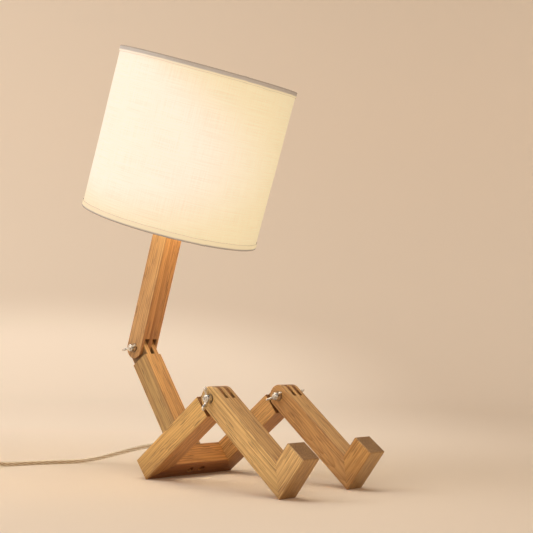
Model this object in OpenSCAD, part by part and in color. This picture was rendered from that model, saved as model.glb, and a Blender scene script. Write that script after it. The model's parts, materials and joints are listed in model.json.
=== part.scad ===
// Desk lamp built like a seated figure: square wooden bars on wing bolts carry a drum shade.
// Millimetres, +Z up. The thighs point along -Y, and X runs from one leg to the other.

/* [Wooden bars] */
// Width and thickness of every square bar
bar_w = 25; // [24:0.5:27]
// Width of the eased edges
ease = 0.8; // [0.4:0.1:1.4]
// Width over the two thighs
seat_w = 132; // [120:1:150]
// Slope of the thighs above the table, in degrees
thigh_rise = 39; // [34:0.5:42]
// Hip bar's rear face to the knee axis, along the thigh
thigh_len = 130; // [122:1:140]
// Knee axis to the sole
shin_len = 132; // [126:1:150]
// Heel to toe
foot_len = 50; // [42:1:60]
// Angle between the shin and its foot, in degrees
foot_angle = 88; // [80:1:96]
// Hip bar's top face to the waist axis, along the torso
torso_len = 139; // [125:1:155]
// Torso's lean forward of square to the hip bar, in degrees
torso_tilt = 3.5; // [0:0.5:6]
// Neck's lean forward of upright, in degrees
neck_lean = 16.5; // [5:0.5:25]
// Waist axis to the top end of the neck
neck_len = 158; // [150:1:165]
// Diameter of the dowels across the mitres
dowel_d = 6; // [5:0.5:8]
// Length of those dowels
dowel_len = 18; // [14:1:20]

/* [Finger joints] */
// Play on each side of a tongue between two fingers
finger_play = 0.2; // [0.1:0.05:0.3]
// Gap between the shin's round fingers and the thigh's shoulder
knee_shoulder_gap = 1.5; // [1:0.1:3]
// Gap between the thigh's round tongues and the bottom of the shin's slots
knee_slot_gap = 1; // [0.6:0.1:2]
// Thickness of the neck's outer fingers at the waist
waist_cheek = 3.5; // [3:0.25:4.5]
// Thickness of the neck's middle finger
waist_middle = 5; // [4.8:0.1:5.6]
// Gap between the torso's round tongues and the top of the neck's slots
waist_slot_gap = 2; // [1:0.25:4]
// Gap between the neck's round fingers and the torso's shoulders
waist_shoulder_gap = 4.5; // [2:0.25:6]
// Gap between the neck's middle finger and the bottom of the torso's slit
waist_slit_gap = 4.2; // [2:0.2:6]

/* [Wing bolts] */
// Diameter of the bolts
bolt_d = 4.9; // [4.6:0.1:5]
// Radial clearance of a bolt in its bores and in its nut
bolt_play = 0.05; // [0.02:0.01:0.09]
// How far a bolt stands out of its nut
bolt_tip = 1.4; // [0.5:0.1:3]
// Outer diameter of the washers
washer_d = 10.5; // [9:0.5:12]
// Thickness of the washers
washer_t = 1; // [0.8:0.1:1.4]
// Diameter of a wing nut's hub where it presses on the washer
hub_d = 10; // [8.5:0.5:11]
// Diameter at the hub's other end
hub_top_d = 8.2; // [7.5:0.1:9]
// Height of the hub
hub_h = 5.5; // [5:0.25:7]
// Distance from the bolt's axis to the middle of a wing's tip
wing_reach = 10.8; // [9.5:0.1:12]
// Height of the middle of a wing's tip above the washer
wing_rise = 7.4; // [6.5:0.1:9]
// Radius of a wing's round tip
wing_tip_r = 2; // [1.6:0.1:2.4]
// Thickness of the wings
wing_t = 2.2; // [1.6:0.1:2.6]

/* [Shade] */
// Outer diameter of the fabric
shade_d = 207; // [190:1:225]
// Height over the taped rims
shade_h = 186.5; // [170:0.5:200]
// Waist axis to the lower rim, up the neck
shade_start = 149; // [143:1:152]
// Lean of the lamp holder and its shade forward of the neck, in degrees
shade_tilt = 2; // [0:0.5:4]
// Thickness of the fabric
fabric_t = 0.5; // [0.4:0.1:0.8]
// Thickness of the stiff liner inside the fabric
liner_t = 0.5; // [0.4:0.1:0.8]
// Thickness of the rim tape
tape_t = 0.45; // [0.3:0.05:0.6]
// Depth of the rim tape on the outside
tape_h = 7; // [5:0.5:10]
// Wire diameter of the rings
wire_d = 3; // [2.8:0.1:3.5]
// Wire diameter of the spokes
spoke_d = 2.6; // [2:0.1:2.6]
// Number of spokes in the spider
spokes = 3; // [3:1:4]

/* [Lamp holder and bulb] */
// Outer radius of the holder's barrel
barrel_r = 19.5; // [19.2:0.1:20.5]
// Outer radius of the clamping ring's flange
clamp_r = 27; // [25.5:0.5:29]
// Radius of the bulb's glass globe
globe_r = 30; // [27:0.5:32]
// Bulb's metal cap to the middle of the globe
globe_rise = 49; // [46:0.5:54]

/* [Mains lead] */
// Width of the flat twin lead
lead_w = 5.2; // [4.8:0.1:5.2]
// Thickness of the flat twin lead
lead_t = 3; // [2.6:0.1:3]
// Distance of the lead's channel behind the middle of the bars
lead_back = 7; // [6.8:0.1:7.4]
// Hip bar's top face to the lead's exit, along the torso
exit_rise = 29.4; // [25:0.2:40]
// Length of the tapered strain relief
relief_len = 16; // [14:0.5:18]
// Length of the inline switch
switch_len = 56; // [52:1:58]
// Width of the inline switch
switch_w = 24; // [22:0.5:26]
// Height of the inline switch
switch_h = 17; // [16:0.5:19]
// Radius to the middle of the stored coil
coil_mid_r = 29.5; // [28:0.5:31]
// Length of a plug pin
pin_len = 19; // [18:0.5:20]
// Diameter of a plug pin
pin_d = 4; // [3.8:0.1:4.2]
// Distance between the plug's pins
pin_spacing = 18.6; // [17.5:0.1:19.2]

/* [Hidden] */
round_fn = 64;       // facets of small round parts
shade_fn = 180;      // facets of the shade
far = 400;           // larger than the lamp, for half spaces
over = 1;            // how far a cut runs past the face that it opens
half = bar_w / 2;
leg_x = seat_w / 2 - half;
NEAR = -1;           // the leg on the -X side
FAR = 1;             // the leg on the +X side

// Joints
finger = bar_w / 5;
knee_shoulder = half + knee_shoulder_gap;
knee_slot = half + knee_slot_gap;
waist_slot_top = half + waist_slot_gap;
waist_shoulder = half + waist_shoulder_gap;
waist_slit = half + waist_slit_gap;
bore_r = bolt_d / 2 + bolt_play;
nut_gap = 0.05;      // running gap between a turning nut and its washer
dowel_play = 0.05;

shell_gap = 0.05;    // between the layers of the shade

// Posture. The hip's and the heels' eased edges stand on the table.
torso_lean = thigh_rise - torso_tilt;
waist_fold = torso_lean + neck_lean;
seat_drop = ease * sin(thigh_rise);
knee_y = thigh_len * cos(thigh_rise) - half * sin(thigh_rise);
knee_z = thigh_len * sin(thigh_rise) + half * cos(thigh_rise) - seat_drop;
heel_reach = norm([shin_len - ease, half]);
shin_drop = asin(knee_z / heel_reach) - atan2(half, shin_len - ease);
waist_y = half * cos(thigh_rise) - bar_w * sin(thigh_rise) - torso_len * sin(torso_lean);
toe_along = shin_len - foot_len * cos(foot_angle);
toe_across = foot_len * sin(foot_angle) - half;
toe_ease = ease * min(-cos(foot_angle + shin_drop), sin(foot_angle + shin_drop));
front = knee_y + toe_along * cos(shin_drop) + toe_across * sin(shin_drop) - toe_ease;
tape_r = shade_d / 2 + shell_gap + tape_t;
shade_lean = neck_lean + shade_tilt;
back = waist_y + neck_len * sin(neck_lean) + (shade_start - neck_len) * sin(shade_lean)
       - tape_r * cos(shade_lean);
mid_y = (front + back) / 2;   // the origin stands midway between toes and shade

// Wing angles in the side view, from forward towards up
near_nut_turn = 84;
near_bolt_turn = -38;
far_nut_turn = 24;
far_bolt_turn = 37;
waist_nut_turn = 15;
waist_bolt_turn = 90 - neck_lean;
stack = half + washer_t;      // middle of a joint to the outer face of its washer

// Hip screws
hip_screw_x = 8.5;
hip_screw_r = 2;
hip_screw_depth = 28;         // how far the screws run into the torso
screw_head_r = 3.8;
screw_head_h = 3;
counterbore_r = 4;
counterbore_depth = 6;
screw_gap = 0.05;             // around a screw in the hole that it is driven into
screw_play = 0.3;             // around a screw in the piece that it holds down

// Shade
fabric_r = shade_d / 2;
liner_r = fabric_r - fabric_t - shell_gap;
inner_tape_r = liner_r - liner_t - shell_gap;
ring_r = inner_tape_r - tape_t - shell_gap - wire_d / 2;
rim_cover = tape_t + shell_gap;
inner_tape_h = 5;
lower_ring_z = shade_start + rim_cover + wire_d / 2;
upper_ring_z = shade_start + shade_h - rim_cover - wire_d / 2;
weld_gap = 0.1;               // between a spoke's end and the ring's wire
spoke_inset = 2;              // how far the spokes start inside the clamping ring's flange
spoke_sink = 0.3;             // how far they start below the fitter plate

// Lamp holder, heights above the neck's end
cap_h = 14;
cap_floor = 2.5;
flange_r = 22;
flange_t = 2.5;
barrel_h = 34;
fitter_t = 2;
fitter_hole_r = barrel_r + 0.7;
clamp_hole_r = barrel_r + 0.1;
clamp_flange_t = 2.5;
clamp_h = 10.5;
terminal_room = 4;
socket_floor = cap_h + 8;
socket_r = 14.3;
bulb_seat = socket_floor + 2;
bulb_cap_h = 26;
bulb_cap_r = 13.2;
fitter_z = cap_h + flange_t;
clamp_z = fitter_z + fitter_t;
glass_t = 1;
holder_screw_at = [7.5, -4];
holder_screw_r = 1.3;
holder_screw_len = 12;
end_spare = 3;                // cut off the neck's top end

// Lead
channel_r = 3.2;
lead_gap = 0.4;               // lead to the neck's middle finger
lead_inner = lead_back - lead_t / 2 - lead_gap;
exit_drop = torso_len - exit_rise;
exit_hole_r = 3.4;
relief_base_r = 5.5;
relief_root_r = 4.3;
relief_tip_r = 3.2;
relief_flange = 1.4;

// Where the lead leaves the strain relief, and its direction there
waist_z = half * sin(thigh_rise) + bar_w * cos(thigh_rise) + torso_len * cos(torso_lean)
          - seat_drop;
relief_dir = [0, cos(torso_lean), -sin(torso_lean)];
relief_end = [0,
              mid_y - waist_y + (half + relief_len) * cos(torso_lean) - exit_drop * sin(torso_lean),
              waist_z - (half + relief_len) * sin(torso_lean) - exit_drop * cos(torso_lean)];

// Inline switch, coil and plug, on the table behind the near leg
switch_at = [-170, 223];
switch_split = 8;             // height of the parting line, and of the lead through it
switch_wall = 3;
switch_end = 6;               // thickness of the wall at each end
switch_floor = 2;
lead_hole_gap = 0.15;
terminal = [3, 5];            // length and width of a terminal block
terminal_gap = 0.2;           // terminal block to the end wall
pocket = [20.4, 12.4];
pocket_wall = 2;
rocker_len = 18.4;
rocker_w = 11.6;
rocker_pivot_z = 12.6;
rocker_pin_r = 1.5;
rocker_pin_play = 0.05;
rocker_pin_out = 1.4;
rocker_tilt = 8;
switch_screw_at = [18, 6.2];
switch_screw_r = 1.3;
coil_at = [-230, 258];
coil_across = 4;
coil_layers = 2;
coil_step = 3.4;
coil_lift = 5.4;
tie_t = 0.7;
tie_w = 4;
tie_gap = 0.15;
coil_in = coil_mid_r - (coil_across - 1) / 2 * coil_step - lead_t / 2;
coil_out = coil_mid_r + (coil_across - 1) / 2 * coil_step + lead_t / 2;
coil_h = lead_w + (coil_layers - 1) * coil_lift;
plug_at = [-174, 286];
plug_len = 32;
plug_w = 35.2;
plug_h = 13.7;
plug_tail = 10;
plug_tail_r = 3.4;
pin_root = 6;
pin_root_r = 1.5;
pin_chamfer = 1;

// The lead's way, point by point
RUN = concat([relief_end, relief_end + 4 * relief_dir],
             [[0, 94, 29.3], [0, 103, 27], [-1, 114, 24.8], [-1, 127, 21.8], [-2, 140, 18.5],
              [-4, 153, 14.9], [-7, 166, 11.2], [-12, 178, 7.6], [-19, 188, 4.8], [-28, 195, 3.2],
              [-39, 200, 2.7], [-52, 205, 2.7], [-66, 210, 2.7], [-80, 215, 2.7],
              [-94, 219, 2.7], [-108, 222, 2.7], [-120, 223, 3.4], [-130, 223, 5.8],
              [-138, 223, 7.6], [-143, 223, 8], [-147, 223, 8]]);
LINK = [[-193, 223, 8], [-198, 223, 8], [-206, 223, 7], [-214, 223, 5], [-222, 223.2, 3.6],
        [-228, 223.4, 3.3]];
TAIL = [[-232, 292.6, 8.7], [-220, 292.4, 8.6], [-208, 290.6, 8], [-198, 288, 7.3],
        [-190, 286.1, 6.87], [-184.3, 286, 6.85]];

// Frames ---------------------------------------------------------------------------------------

// -Y along the thighs, +Z square to them, origin on the hip bar's lower rear edge.
module at_hip() {
    translate([0, mid_y, -seat_drop]) rotate([-thigh_rise, 0, 0]) children();
}

// Origin on the knee axis, -Y down the shin.
module at_knee(side) {
    at_hip() translate([side * leg_x, -thigh_len, half])
        rotate([thigh_rise + shin_drop, 0, 0]) children();
}

// Origin on the heel's edge, -Y towards the toe, +Z towards the instep.
module at_foot(side) {
    at_knee(side) translate([0, -shin_len, -half]) rotate([180 + foot_angle, 0, 0]) children();
}

// Origin on the waist axis, -Z down the torso, +Y out of its back.
module at_waist() {
    at_hip() translate([0, -half, bar_w]) rotate([torso_tilt, 0, 0])
        translate([0, 0, torso_len]) children();
}

// Origin on the waist axis, +Z up the neck.
module at_neck() {
    at_waist() rotate([waist_fold, 0, 0]) children();
}

// Origin on the neck's top end, +Z up the lamp holder.
module at_holder() {
    at_neck() neck_end() children();
}

// The neck's top end in the neck's own frame.
module neck_end() {
    translate([0, 0, neck_len]) rotate([shade_tilt, 0, 0]) children();
}

// The holder's frame with its heights counted from the waist, as the shade's are.
module at_shade() {
    at_holder() translate([0, 0, -neck_len]) children();
}

// Wood -----------------------------------------------------------------------------------------

// Rectangle from the origin with eased corners.
module eased_rect(w, h) {
    polygon([[ease, 0], [w - ease, 0], [w, ease], [w, h - ease], [w - ease, h], [ease, h],
             [0, h - ease], [0, ease]]);
}

// Block from the origin with all twelve edges eased.
module eased_block(size) {
    intersection() {
        linear_extrude(size.z) eased_rect(size.x, size.y);
        translate([0, size.y, 0]) rotate([90, 0, 0]) linear_extrude(size.y)
            eased_rect(size.x, size.z);
        rotate([90, 0, 90]) linear_extrude(size.x) eased_rect(size.y, size.z);
    }
}

// Round end of a bar about the X axis, with eased rims.
module round_end() {
    rotate([0, 90, 0]) rotate_extrude($fn = round_fn)
        polygon([[0, -half], [half - ease, -half], [half, -half + ease], [half, half - ease],
                 [half - ease, half], [0, half]]);
}

// Bar up +Z from a round end on the X axis to an eased square end.
module knuckle_bar(length) {
    union() {
        round_end();
        intersection() {
            linear_extrude(length) translate([-half, -half]) eased_rect(bar_w, bar_w);
            translate([-half, -half, -bar_w]) eased_block([bar_w, bar_w, length + bar_w]);
        }
    }
}

// Cut between x = from and x = to on both sides of the middle, from z = -far up to z = top.
module twin_cut(from, to, top) {
    for (side = [-1, 1])
        translate([side * (from + to) / 2 - (to - from) / 2, -bar_w, top - far])
            cube([to - from, 2 * bar_w, far]);
}

module bolt_bore() {
    rotate([0, 90, 0]) cylinder(r = bore_r, h = 2 * bar_w, center = true, $fn = round_fn);
}

// Everything on the toe's side of the mitre through the heel.
module toe_side() {
    rotate([-foot_angle / 2, 0, 0]) translate([-bar_w, -far / 2, -far])
        cube([2 * bar_w, far, far]);
}

module foot_dowel(radius, length) {
    rotate([-foot_angle / 2, 0, 0]) translate([0, -half / sin(foot_angle / 2), 0])
        cylinder(r = radius, h = length, center = true, $fn = round_fn);
}

module hip_dowel(side, radius, length) {
    translate([side * leg_x, -half, half]) rotate([0, 0, -45 * side]) rotate([0, 90, 0])
        cylinder(r = radius, h = length, center = true, $fn = round_fn);
}

// The seat's outer block, which gives both mitred corners their eased edges.
module seat_block() {
    length = thigh_len + bar_w;
    translate([-seat_w / 2, -length, 0]) eased_block([seat_w, length, bar_w]);
}

// Two round rods or bores up through the hip bar, one on each side of its middle.
module hip_rods(radius, from, to) {
    for (side = [-1, 1])
        translate([side * hip_screw_x, -half, from])
            cylinder(r = radius, h = to - from, $fn = round_fn);
}

module hip_bar() {
    color("peru") at_hip() difference() {
        intersection() {
            seat_block();
            translate([-seat_w / 2, -bar_w, 0]) rotate([90, 0, 90]) linear_extrude(seat_w)
                eased_rect(bar_w, bar_w);
            linear_extrude(bar_w)
                polygon([[-seat_w / 2, 0], [seat_w / 2, 0], [seat_w / 2 - bar_w, -bar_w],
                         [bar_w - seat_w / 2, -bar_w]]);
        }
        hip_rods(hip_screw_r + screw_play, -over, bar_w + over);
        hip_rods(counterbore_r, -over, counterbore_depth);
        for (side = [NEAR, FAR]) hip_dowel(side, dowel_d / 2 + dowel_play, dowel_len + 1);
    }
}

module thigh(side) {
    at_hip() difference() {
        intersection() {
            seat_block();
            translate([side * leg_x, -thigh_len, half]) rotate([-90, 0, 0]) union() {
                round_end();
                linear_extrude(thigh_len) translate([-half, -half]) eased_rect(bar_w, bar_w);
            }
            linear_extrude(bar_w) scale_x(side)
                polygon([[seat_w / 2, 0], [seat_w / 2, -far], [seat_w / 2 - bar_w, -far],
                         [seat_w / 2 - bar_w, -bar_w]]);
        }
        translate([side * leg_x, -thigh_len, half]) {
            rotate([-90, 0, 0]) {
                twin_cut(1.5 * finger - finger_play, bar_w, knee_shoulder);
                twin_cut(-over, finger / 2 + finger_play, knee_shoulder);
            }
            bolt_bore();
        }
        hip_dowel(side, dowel_d / 2 + dowel_play, dowel_len + 1);
    }
}

// Mirrors a flat outline to the near side where side is -1.
module scale_x(side) {
    if (side > 0) children();
    else mirror([1, 0]) children();
}

module near_thigh() { color("peru") thigh(NEAR); }
module far_thigh() { color("peru") thigh(FAR); }

module hip_dowels() {
    color("burlywood") at_hip() for (side = [NEAR, FAR]) hip_dowel(side, dowel_d / 2, dowel_len);
}

module torso_bar() {
    color("peru") difference() {
        intersection() {
            at_waist() mirror([0, 0, 1]) union() {
                round_end();
                linear_extrude(torso_len + bar_w) translate([-half, -half])
                    eased_rect(bar_w, bar_w);
            }
            at_hip() translate([-far / 2, -far, bar_w]) cube([far, 2 * far, far]);
        }
        at_waist() {
            mirror([0, 0, 1]) {
                twin_cut(half - waist_cheek - finger_play, bar_w, waist_shoulder);
                twin_cut(-over, waist_middle / 2 + finger_play, waist_slit);
            }
            bolt_bore();
            translate([0, lead_back, -exit_drop])
                cylinder(r = channel_r, h = exit_drop - waist_slit + over, $fn = round_fn);
            translate([0, lead_back, -exit_drop]) rotate([-90, 0, 0])
                cylinder(r = exit_hole_r, h = bar_w, $fn = round_fn);
        }
        at_hip() hip_rods(hip_screw_r + screw_gap, bar_w - over, bar_w + hip_screw_depth + over);
    }
}

module torso_screws() {
    color("silver") at_hip() {
        hip_rods(hip_screw_r, counterbore_depth, bar_w + hip_screw_depth);
        hip_rods(screw_head_r, counterbore_depth - screw_head_h, counterbore_depth);
    }
}

module shin(side) {
    difference() {
        at_knee(side) rotate([90, 0, 0]) knuckle_bar(shin_len);
        at_knee(side) {
            rotate([90, 0, 0]) twin_cut(finger / 2, 1.5 * finger, knee_slot);
            bolt_bore();
        }
        at_foot(side) {
            toe_side();
            foot_dowel(dowel_d / 2 + dowel_play, dowel_len + 1);
        }
    }
}

module foot(side) {
    at_foot(side) difference() {
        intersection() {
            translate([-half, -foot_len, 0]) eased_block([bar_w, foot_len, bar_w]);
            toe_side();
        }
        foot_dowel(dowel_d / 2 + dowel_play, dowel_len + 1);
    }
}

module near_shin() { color("peru") shin(NEAR); }
module far_shin() { color("peru") shin(FAR); }
module near_foot() { color("peru") foot(NEAR); }
module far_foot() { color("peru") foot(FAR); }
module near_foot_dowel() { color("burlywood") at_foot(NEAR) foot_dowel(dowel_d / 2, dowel_len); }
module far_foot_dowel() { color("burlywood") at_foot(FAR) foot_dowel(dowel_d / 2, dowel_len); }

// The middle finger is cut back behind the bolt, where the lead bends from torso to neck, and
// the top end is cut square to the lamp holder.
module neck_bar() {
    way_half = waist_middle / 2 + finger_play;
    ways = [[0, -lead_inner / 2, waist_slot_top], [-waist_fold / 2, -lead_back, lead_back],
            [-waist_fold, -bar_w, lead_inner / 2]];
    color("peru") at_neck() difference() {
        knuckle_bar(neck_len + end_spare);
        twin_cut(waist_middle / 2, half - waist_cheek, waist_slot_top);
        bolt_bore();
        for (way = ways)
            rotate([way[0], 0, 0]) translate([-way_half, lead_inner, way[1]])
                cube([2 * way_half, bar_w, way[2] - way[1]]);
        translate([0, lead_back, waist_slot_top - over])
            cylinder(r = channel_r, h = neck_len, $fn = round_fn);
        neck_end() {
            translate([-bar_w, -bar_w, 0]) cube([2 * bar_w, 2 * bar_w, bar_w]);
            holder_screw_places() translate([0, 0, -holder_screw_len - over])
                cylinder(r = holder_screw_r + screw_gap, h = far, $fn = round_fn);
        }
    }
}

// Wing hardware --------------------------------------------------------------------------------

// Hub and two wings up +Z from the washer, wings along X.
module wing_body() {
    cylinder(r1 = hub_d / 2, r2 = hub_top_d / 2, h = hub_h, $fn = round_fn);
    rotate([90, 0, 0]) translate([0, 0, -wing_t / 2]) linear_extrude(wing_t)
        for (side = [0, 1]) mirror([side, 0]) {
            polygon([[hub_top_d / 4, 1], [hub_d / 2, 0.8], [wing_reach + 0.4 * wing_tip_r,
                     wing_rise - 0.9 * wing_tip_r], [wing_reach - 0.7 * wing_tip_r,
                     wing_rise + 0.7 * wing_tip_r], [hub_top_d / 2, hub_h - 0.6],
                     [hub_top_d / 4, hub_h - 0.6]]);
            translate([wing_reach, wing_rise]) circle(r = wing_tip_r, $fn = round_fn);
        }
}

// Faces the -X side with the wings turned from forward towards up.
module facing_nut(turn) {
    translate([-stack - nut_gap, 0, 0]) rotate([turn, 0, 0]) rotate([0, -90, 0])
        rotate([0, 0, 90]) children();
}

// Turn of a frame's own wings so that they stand at the wanted angle in the side view.
function side_turn(wanted, frame_drop) = -(wanted + frame_drop);

module wing_nut(turn) {
    facing_nut(turn) difference() {
        wing_body();
        translate([0, 0, -over]) cylinder(r = bore_r, h = far, $fn = round_fn);
    }
}

module wing_bolt(turn) {
    shank = 2 * stack + nut_gap + hub_h + bolt_tip;
    mirror([1, 0, 0]) facing_nut(turn) wing_body();
    translate([stack + nut_gap, 0, 0]) rotate([0, -90, 0]) {
        cylinder(r = bolt_d / 2, h = shank, $fn = round_fn);
        translate([0, 0, shank])
            cylinder(r1 = bolt_d / 2, r2 = bolt_d / 2 - 0.6, h = 0.6, $fn = round_fn);
    }
}

module washers() {
    for (side = [-1, 1])
        translate([side * (half + washer_t / 2), 0, 0]) rotate([0, 90, 0]) difference() {
            cylinder(r = washer_d / 2, h = washer_t, center = true, $fn = round_fn);
            cylinder(r = bore_r + 0.2, h = 3 * washer_t, center = true, $fn = round_fn);
        }
}

module near_knee_bolt() {
    color("silver") at_knee(NEAR) wing_bolt(side_turn(near_bolt_turn, shin_drop));
}
module near_knee_washers() { color("lightgray") at_knee(NEAR) washers(); }
module near_knee_nut() {
    color("silver") at_knee(NEAR) wing_nut(side_turn(near_nut_turn, shin_drop));
}
module far_knee_bolt() {
    color("silver") at_knee(FAR) wing_bolt(side_turn(far_bolt_turn, shin_drop));
}
module far_knee_washers() { color("lightgray") at_knee(FAR) washers(); }
module far_knee_nut() {
    color("silver") at_knee(FAR) wing_nut(side_turn(far_nut_turn, shin_drop));
}
module waist_bolt() {
    color("silver") at_neck() wing_bolt(side_turn(waist_bolt_turn, neck_lean));
}
module waist_washers() { color("lightgray") at_neck() washers(); }
module waist_nut() {
    color("silver") at_neck() wing_nut(side_turn(waist_nut_turn, neck_lean));
}

// Lamp holder and bulb -------------------------------------------------------------------------

module turned() {
    rotate_extrude($fn = round_fn) children();
}

module holder_screw_places() {
    for (side = [-1, 1]) translate([side * holder_screw_at.x, holder_screw_at.y, 0]) children();
}

module holder_cap() {
    rim_in = barrel_r - 1.6;
    color("whitesmoke") at_holder() difference() {
        turned() polygon([[0, 0], [half + 2, 0], [half + 3.5, 1.5], [barrel_r, 8],
                          [barrel_r, cap_h], [rim_in, cap_h], [rim_in, 8.3],
                          [half + 2, cap_floor], [0, cap_floor]]);
        holder_screw_places() translate([0, 0, -over])
            cylinder(r = holder_screw_r + screw_play, h = cap_floor + 2 * over, $fn = round_fn);
        translate([0, lead_back, -over])
            cylinder(r = exit_hole_r, h = cap_floor + 2 * over, $fn = round_fn);
    }
}

module holder_screws() {
    color("silver") at_holder() holder_screw_places() {
        translate([0, 0, cap_floor]) cylinder(r = 2.6, h = 1.8, $fn = round_fn);
        translate([0, 0, -holder_screw_len])
            cylinder(r = holder_screw_r, h = holder_screw_len + cap_floor, $fn = round_fn);
    }
}

module holder_body() {
    top = cap_h + barrel_h;
    color("whitesmoke") at_holder() turned()
        polygon([[0, cap_h + terminal_room], [15, cap_h + terminal_room], [15, cap_h],
                 [flange_r, cap_h], [flange_r, fitter_z], [barrel_r, fitter_z],
                 [barrel_r, top], [socket_r, top], [socket_r, socket_floor],
                 [0, socket_floor]]);
}

module holder_contacts() {
    color("goldenrod") at_holder() translate([0, 0, socket_floor]) {
        difference() {
            cylinder(r = socket_r - 0.1, h = barrel_h - 10, $fn = round_fn);
            translate([0, 0, -over]) cylinder(r = socket_r - 0.6, h = barrel_h, $fn = round_fn);
        }
        cylinder(r = 4, h = bulb_seat - socket_floor, $fn = round_fn);
    }
}

module clamp_ring() {
    color("whitesmoke") at_holder() translate([0, 0, clamp_z]) turned()
        polygon([[clamp_hole_r, 0], [clamp_r, 0], [clamp_r, clamp_flange_t],
                 [clamp_hole_r + 3, clamp_flange_t], [clamp_hole_r + 3, clamp_h],
                 [clamp_hole_r, clamp_h]]);
}

module bulb_cap() {
    color("lightgray") at_holder() translate([0, 0, bulb_seat]) turned()
        polygon([[0, 0], [4, 0], [4, 0.6], [bulb_cap_r - 0.7, 3.2], [bulb_cap_r, 4],
                 [bulb_cap_r, bulb_cap_h], [0, bulb_cap_h]]);
}

// Half outline of the glass, taken in by the thickness of its wall.
module glass_outline(inset) {
    intersection() {
        union() {
            translate([0, globe_rise]) circle(r = globe_r - inset, $fn = shade_fn);
            polygon([[0, inset], [14.5 - inset, inset], [15 - inset, 5],
                     [globe_r * cos(27) - inset, globe_rise - globe_r * sin(27)],
                     [0, globe_rise]]);
        }
        square([globe_r, far]);
    }
}

module bulb_glass() {
    color("lightyellow") at_holder() translate([0, 0, bulb_seat + bulb_cap_h]) turned()
        difference() {
            glass_outline(0);
            glass_outline(glass_t);
        }
}

// Shade ----------------------------------------------------------------------------------------

module tube(outer, inner, from, to) {
    translate([0, 0, from]) difference() {
        cylinder(r = outer, h = to - from, $fn = shade_fn);
        translate([0, 0, -over]) cylinder(r = inner, h = to - from + 2 * over, $fn = shade_fn);
    }
}

module wire_ring(height) {
    translate([0, 0, height]) rotate_extrude($fn = shade_fn)
        translate([ring_r, 0]) circle(r = wire_d / 2, $fn = 24);
}

// Fitter plate with slanting spokes that end on the lower ring.
module shade_spider() {
    hub_z = neck_len + fitter_z;
    spoke_from = [clamp_r - spoke_inset, hub_z - spoke_sink];
    rise = spoke_from.y - lower_ring_z;
    run = ring_r - spoke_from.x;
    spoke_len = norm([rise, run]) - wire_d / 2 - weld_gap;
    color("silver") at_shade() union() {
        tube(clamp_r - 0.5, fitter_hole_r, hub_z, hub_z + fitter_t);
        for (k = [0:spokes - 1])
            rotate([0, 0, 90 + k * 360 / spokes]) translate([spoke_from.x, 0, spoke_from.y])
                rotate([0, 90 + atan2(rise, run), 0])
                    cylinder(d = spoke_d, h = spoke_len, $fn = 24);
    }
}

module shade_lower_ring() { color("silver") at_shade() wire_ring(lower_ring_z); }
module shade_upper_ring() { color("silver") at_shade() wire_ring(upper_ring_z); }

module shade_liner() {
    color("white") at_shade()
        tube(liner_r, liner_r - liner_t, shade_start + rim_cover,
             shade_start + shade_h - rim_cover);
}

module shade_fabric() {
    color("linen") at_shade()
        tube(fabric_r, fabric_r - fabric_t, shade_start + rim_cover,
             shade_start + shade_h - rim_cover);
}

// Tape folded over a rim: long outside, short inside.
module rim_tape() {
    rotate_extrude($fn = shade_fn) difference() {
        translate([inner_tape_r - tape_t, 0]) square([tape_r - inner_tape_r + tape_t, tape_h]);
        translate([inner_tape_r, tape_t]) square([fabric_r + shell_gap - inner_tape_r, far]);
        translate([0, inner_tape_h]) square([liner_r, far]);
    }
}

module shade_lower_tape() {
    color("lightgray") at_shade() translate([0, 0, shade_start]) rim_tape();
}

module shade_upper_tape() {
    color("lightgray") at_shade() translate([0, 0, shade_start + shade_h]) mirror([0, 0, 1])
        rim_tape();
}

// Mains lead -----------------------------------------------------------------------------------

// Cross-section of the flat twin lead, thin along Y.
module lead_outline() {
    square([lead_w - lead_t, lead_t], center = true);
    for (side = [-1, 1]) translate([side * (lead_w - lead_t) / 2, 0])
        circle(d = lead_t, $fn = 32);
}

module lead_straight(from, to) {
    translate([0, lead_back, from]) linear_extrude(to - from) lead_outline();
}

// Bend about the X axis through the frame's origin, starting in the direction start.
module lead_bend(radius, start, angle) {
    rotate([0, 90, 0]) rotate([0, 0, start]) rotate_extrude(angle = angle, $fn = round_fn)
        translate([radius, 0]) rotate(90) lead_outline();
}

module torso_lead() {
    turn_r = half - lead_back;
    color("gainsboro") at_waist() {
        lead_straight(turn_r - exit_drop, -waist_slit);
        translate([0, half, turn_r - exit_drop]) lead_bend(turn_r, -90, 90);
    }
}

module waist_lead() {
    color("gainsboro") at_waist() {
        lead_straight(-waist_slit, 0);
        lead_bend(lead_back, 90, waist_fold);
        rotate([waist_fold, 0, 0]) lead_straight(0, waist_slot_top);
    }
}

module neck_lead() {
    color("gainsboro") at_neck() lead_straight(waist_slot_top, neck_len + cap_h);
}

module strain_relief() {
    color("gainsboro") at_waist() translate([0, half, -exit_drop]) rotate([-90, 0, 0]) turned()
        polygon([[0, 0], [relief_base_r, 0], [relief_base_r, relief_flange],
                 [relief_root_r, relief_flange + 0.8], [relief_tip_r, relief_len],
                 [0, relief_len]]);
}

function unit(v) = v / norm(v);
// Direction of the way at point i.
function way_dir(pts, i) = unit(pts[min(i + 1, len(pts) - 1)] - pts[max(i - 1, 0)]);
// Half outline factors of the lead's eight-sided tube, across and up.
LEAD_EIGHT = [[1, 0.6], [0.5, 1], [-0.5, 1], [-1, 0.6], [-1, -0.6], [-0.5, -1], [0.5, -1],
              [1, -0.6]];
// One ring of the tube at point i, standing on edge.
function ring(pts, i) =
    let (dir = way_dir(pts, i), across = unit(cross(dir, [0, 0, 1])), up = cross(across, dir))
    [for (k = LEAD_EIGHT) pts[i] + across * k.x * lead_t / 2 + up * k.y * lead_w / 2];

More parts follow.
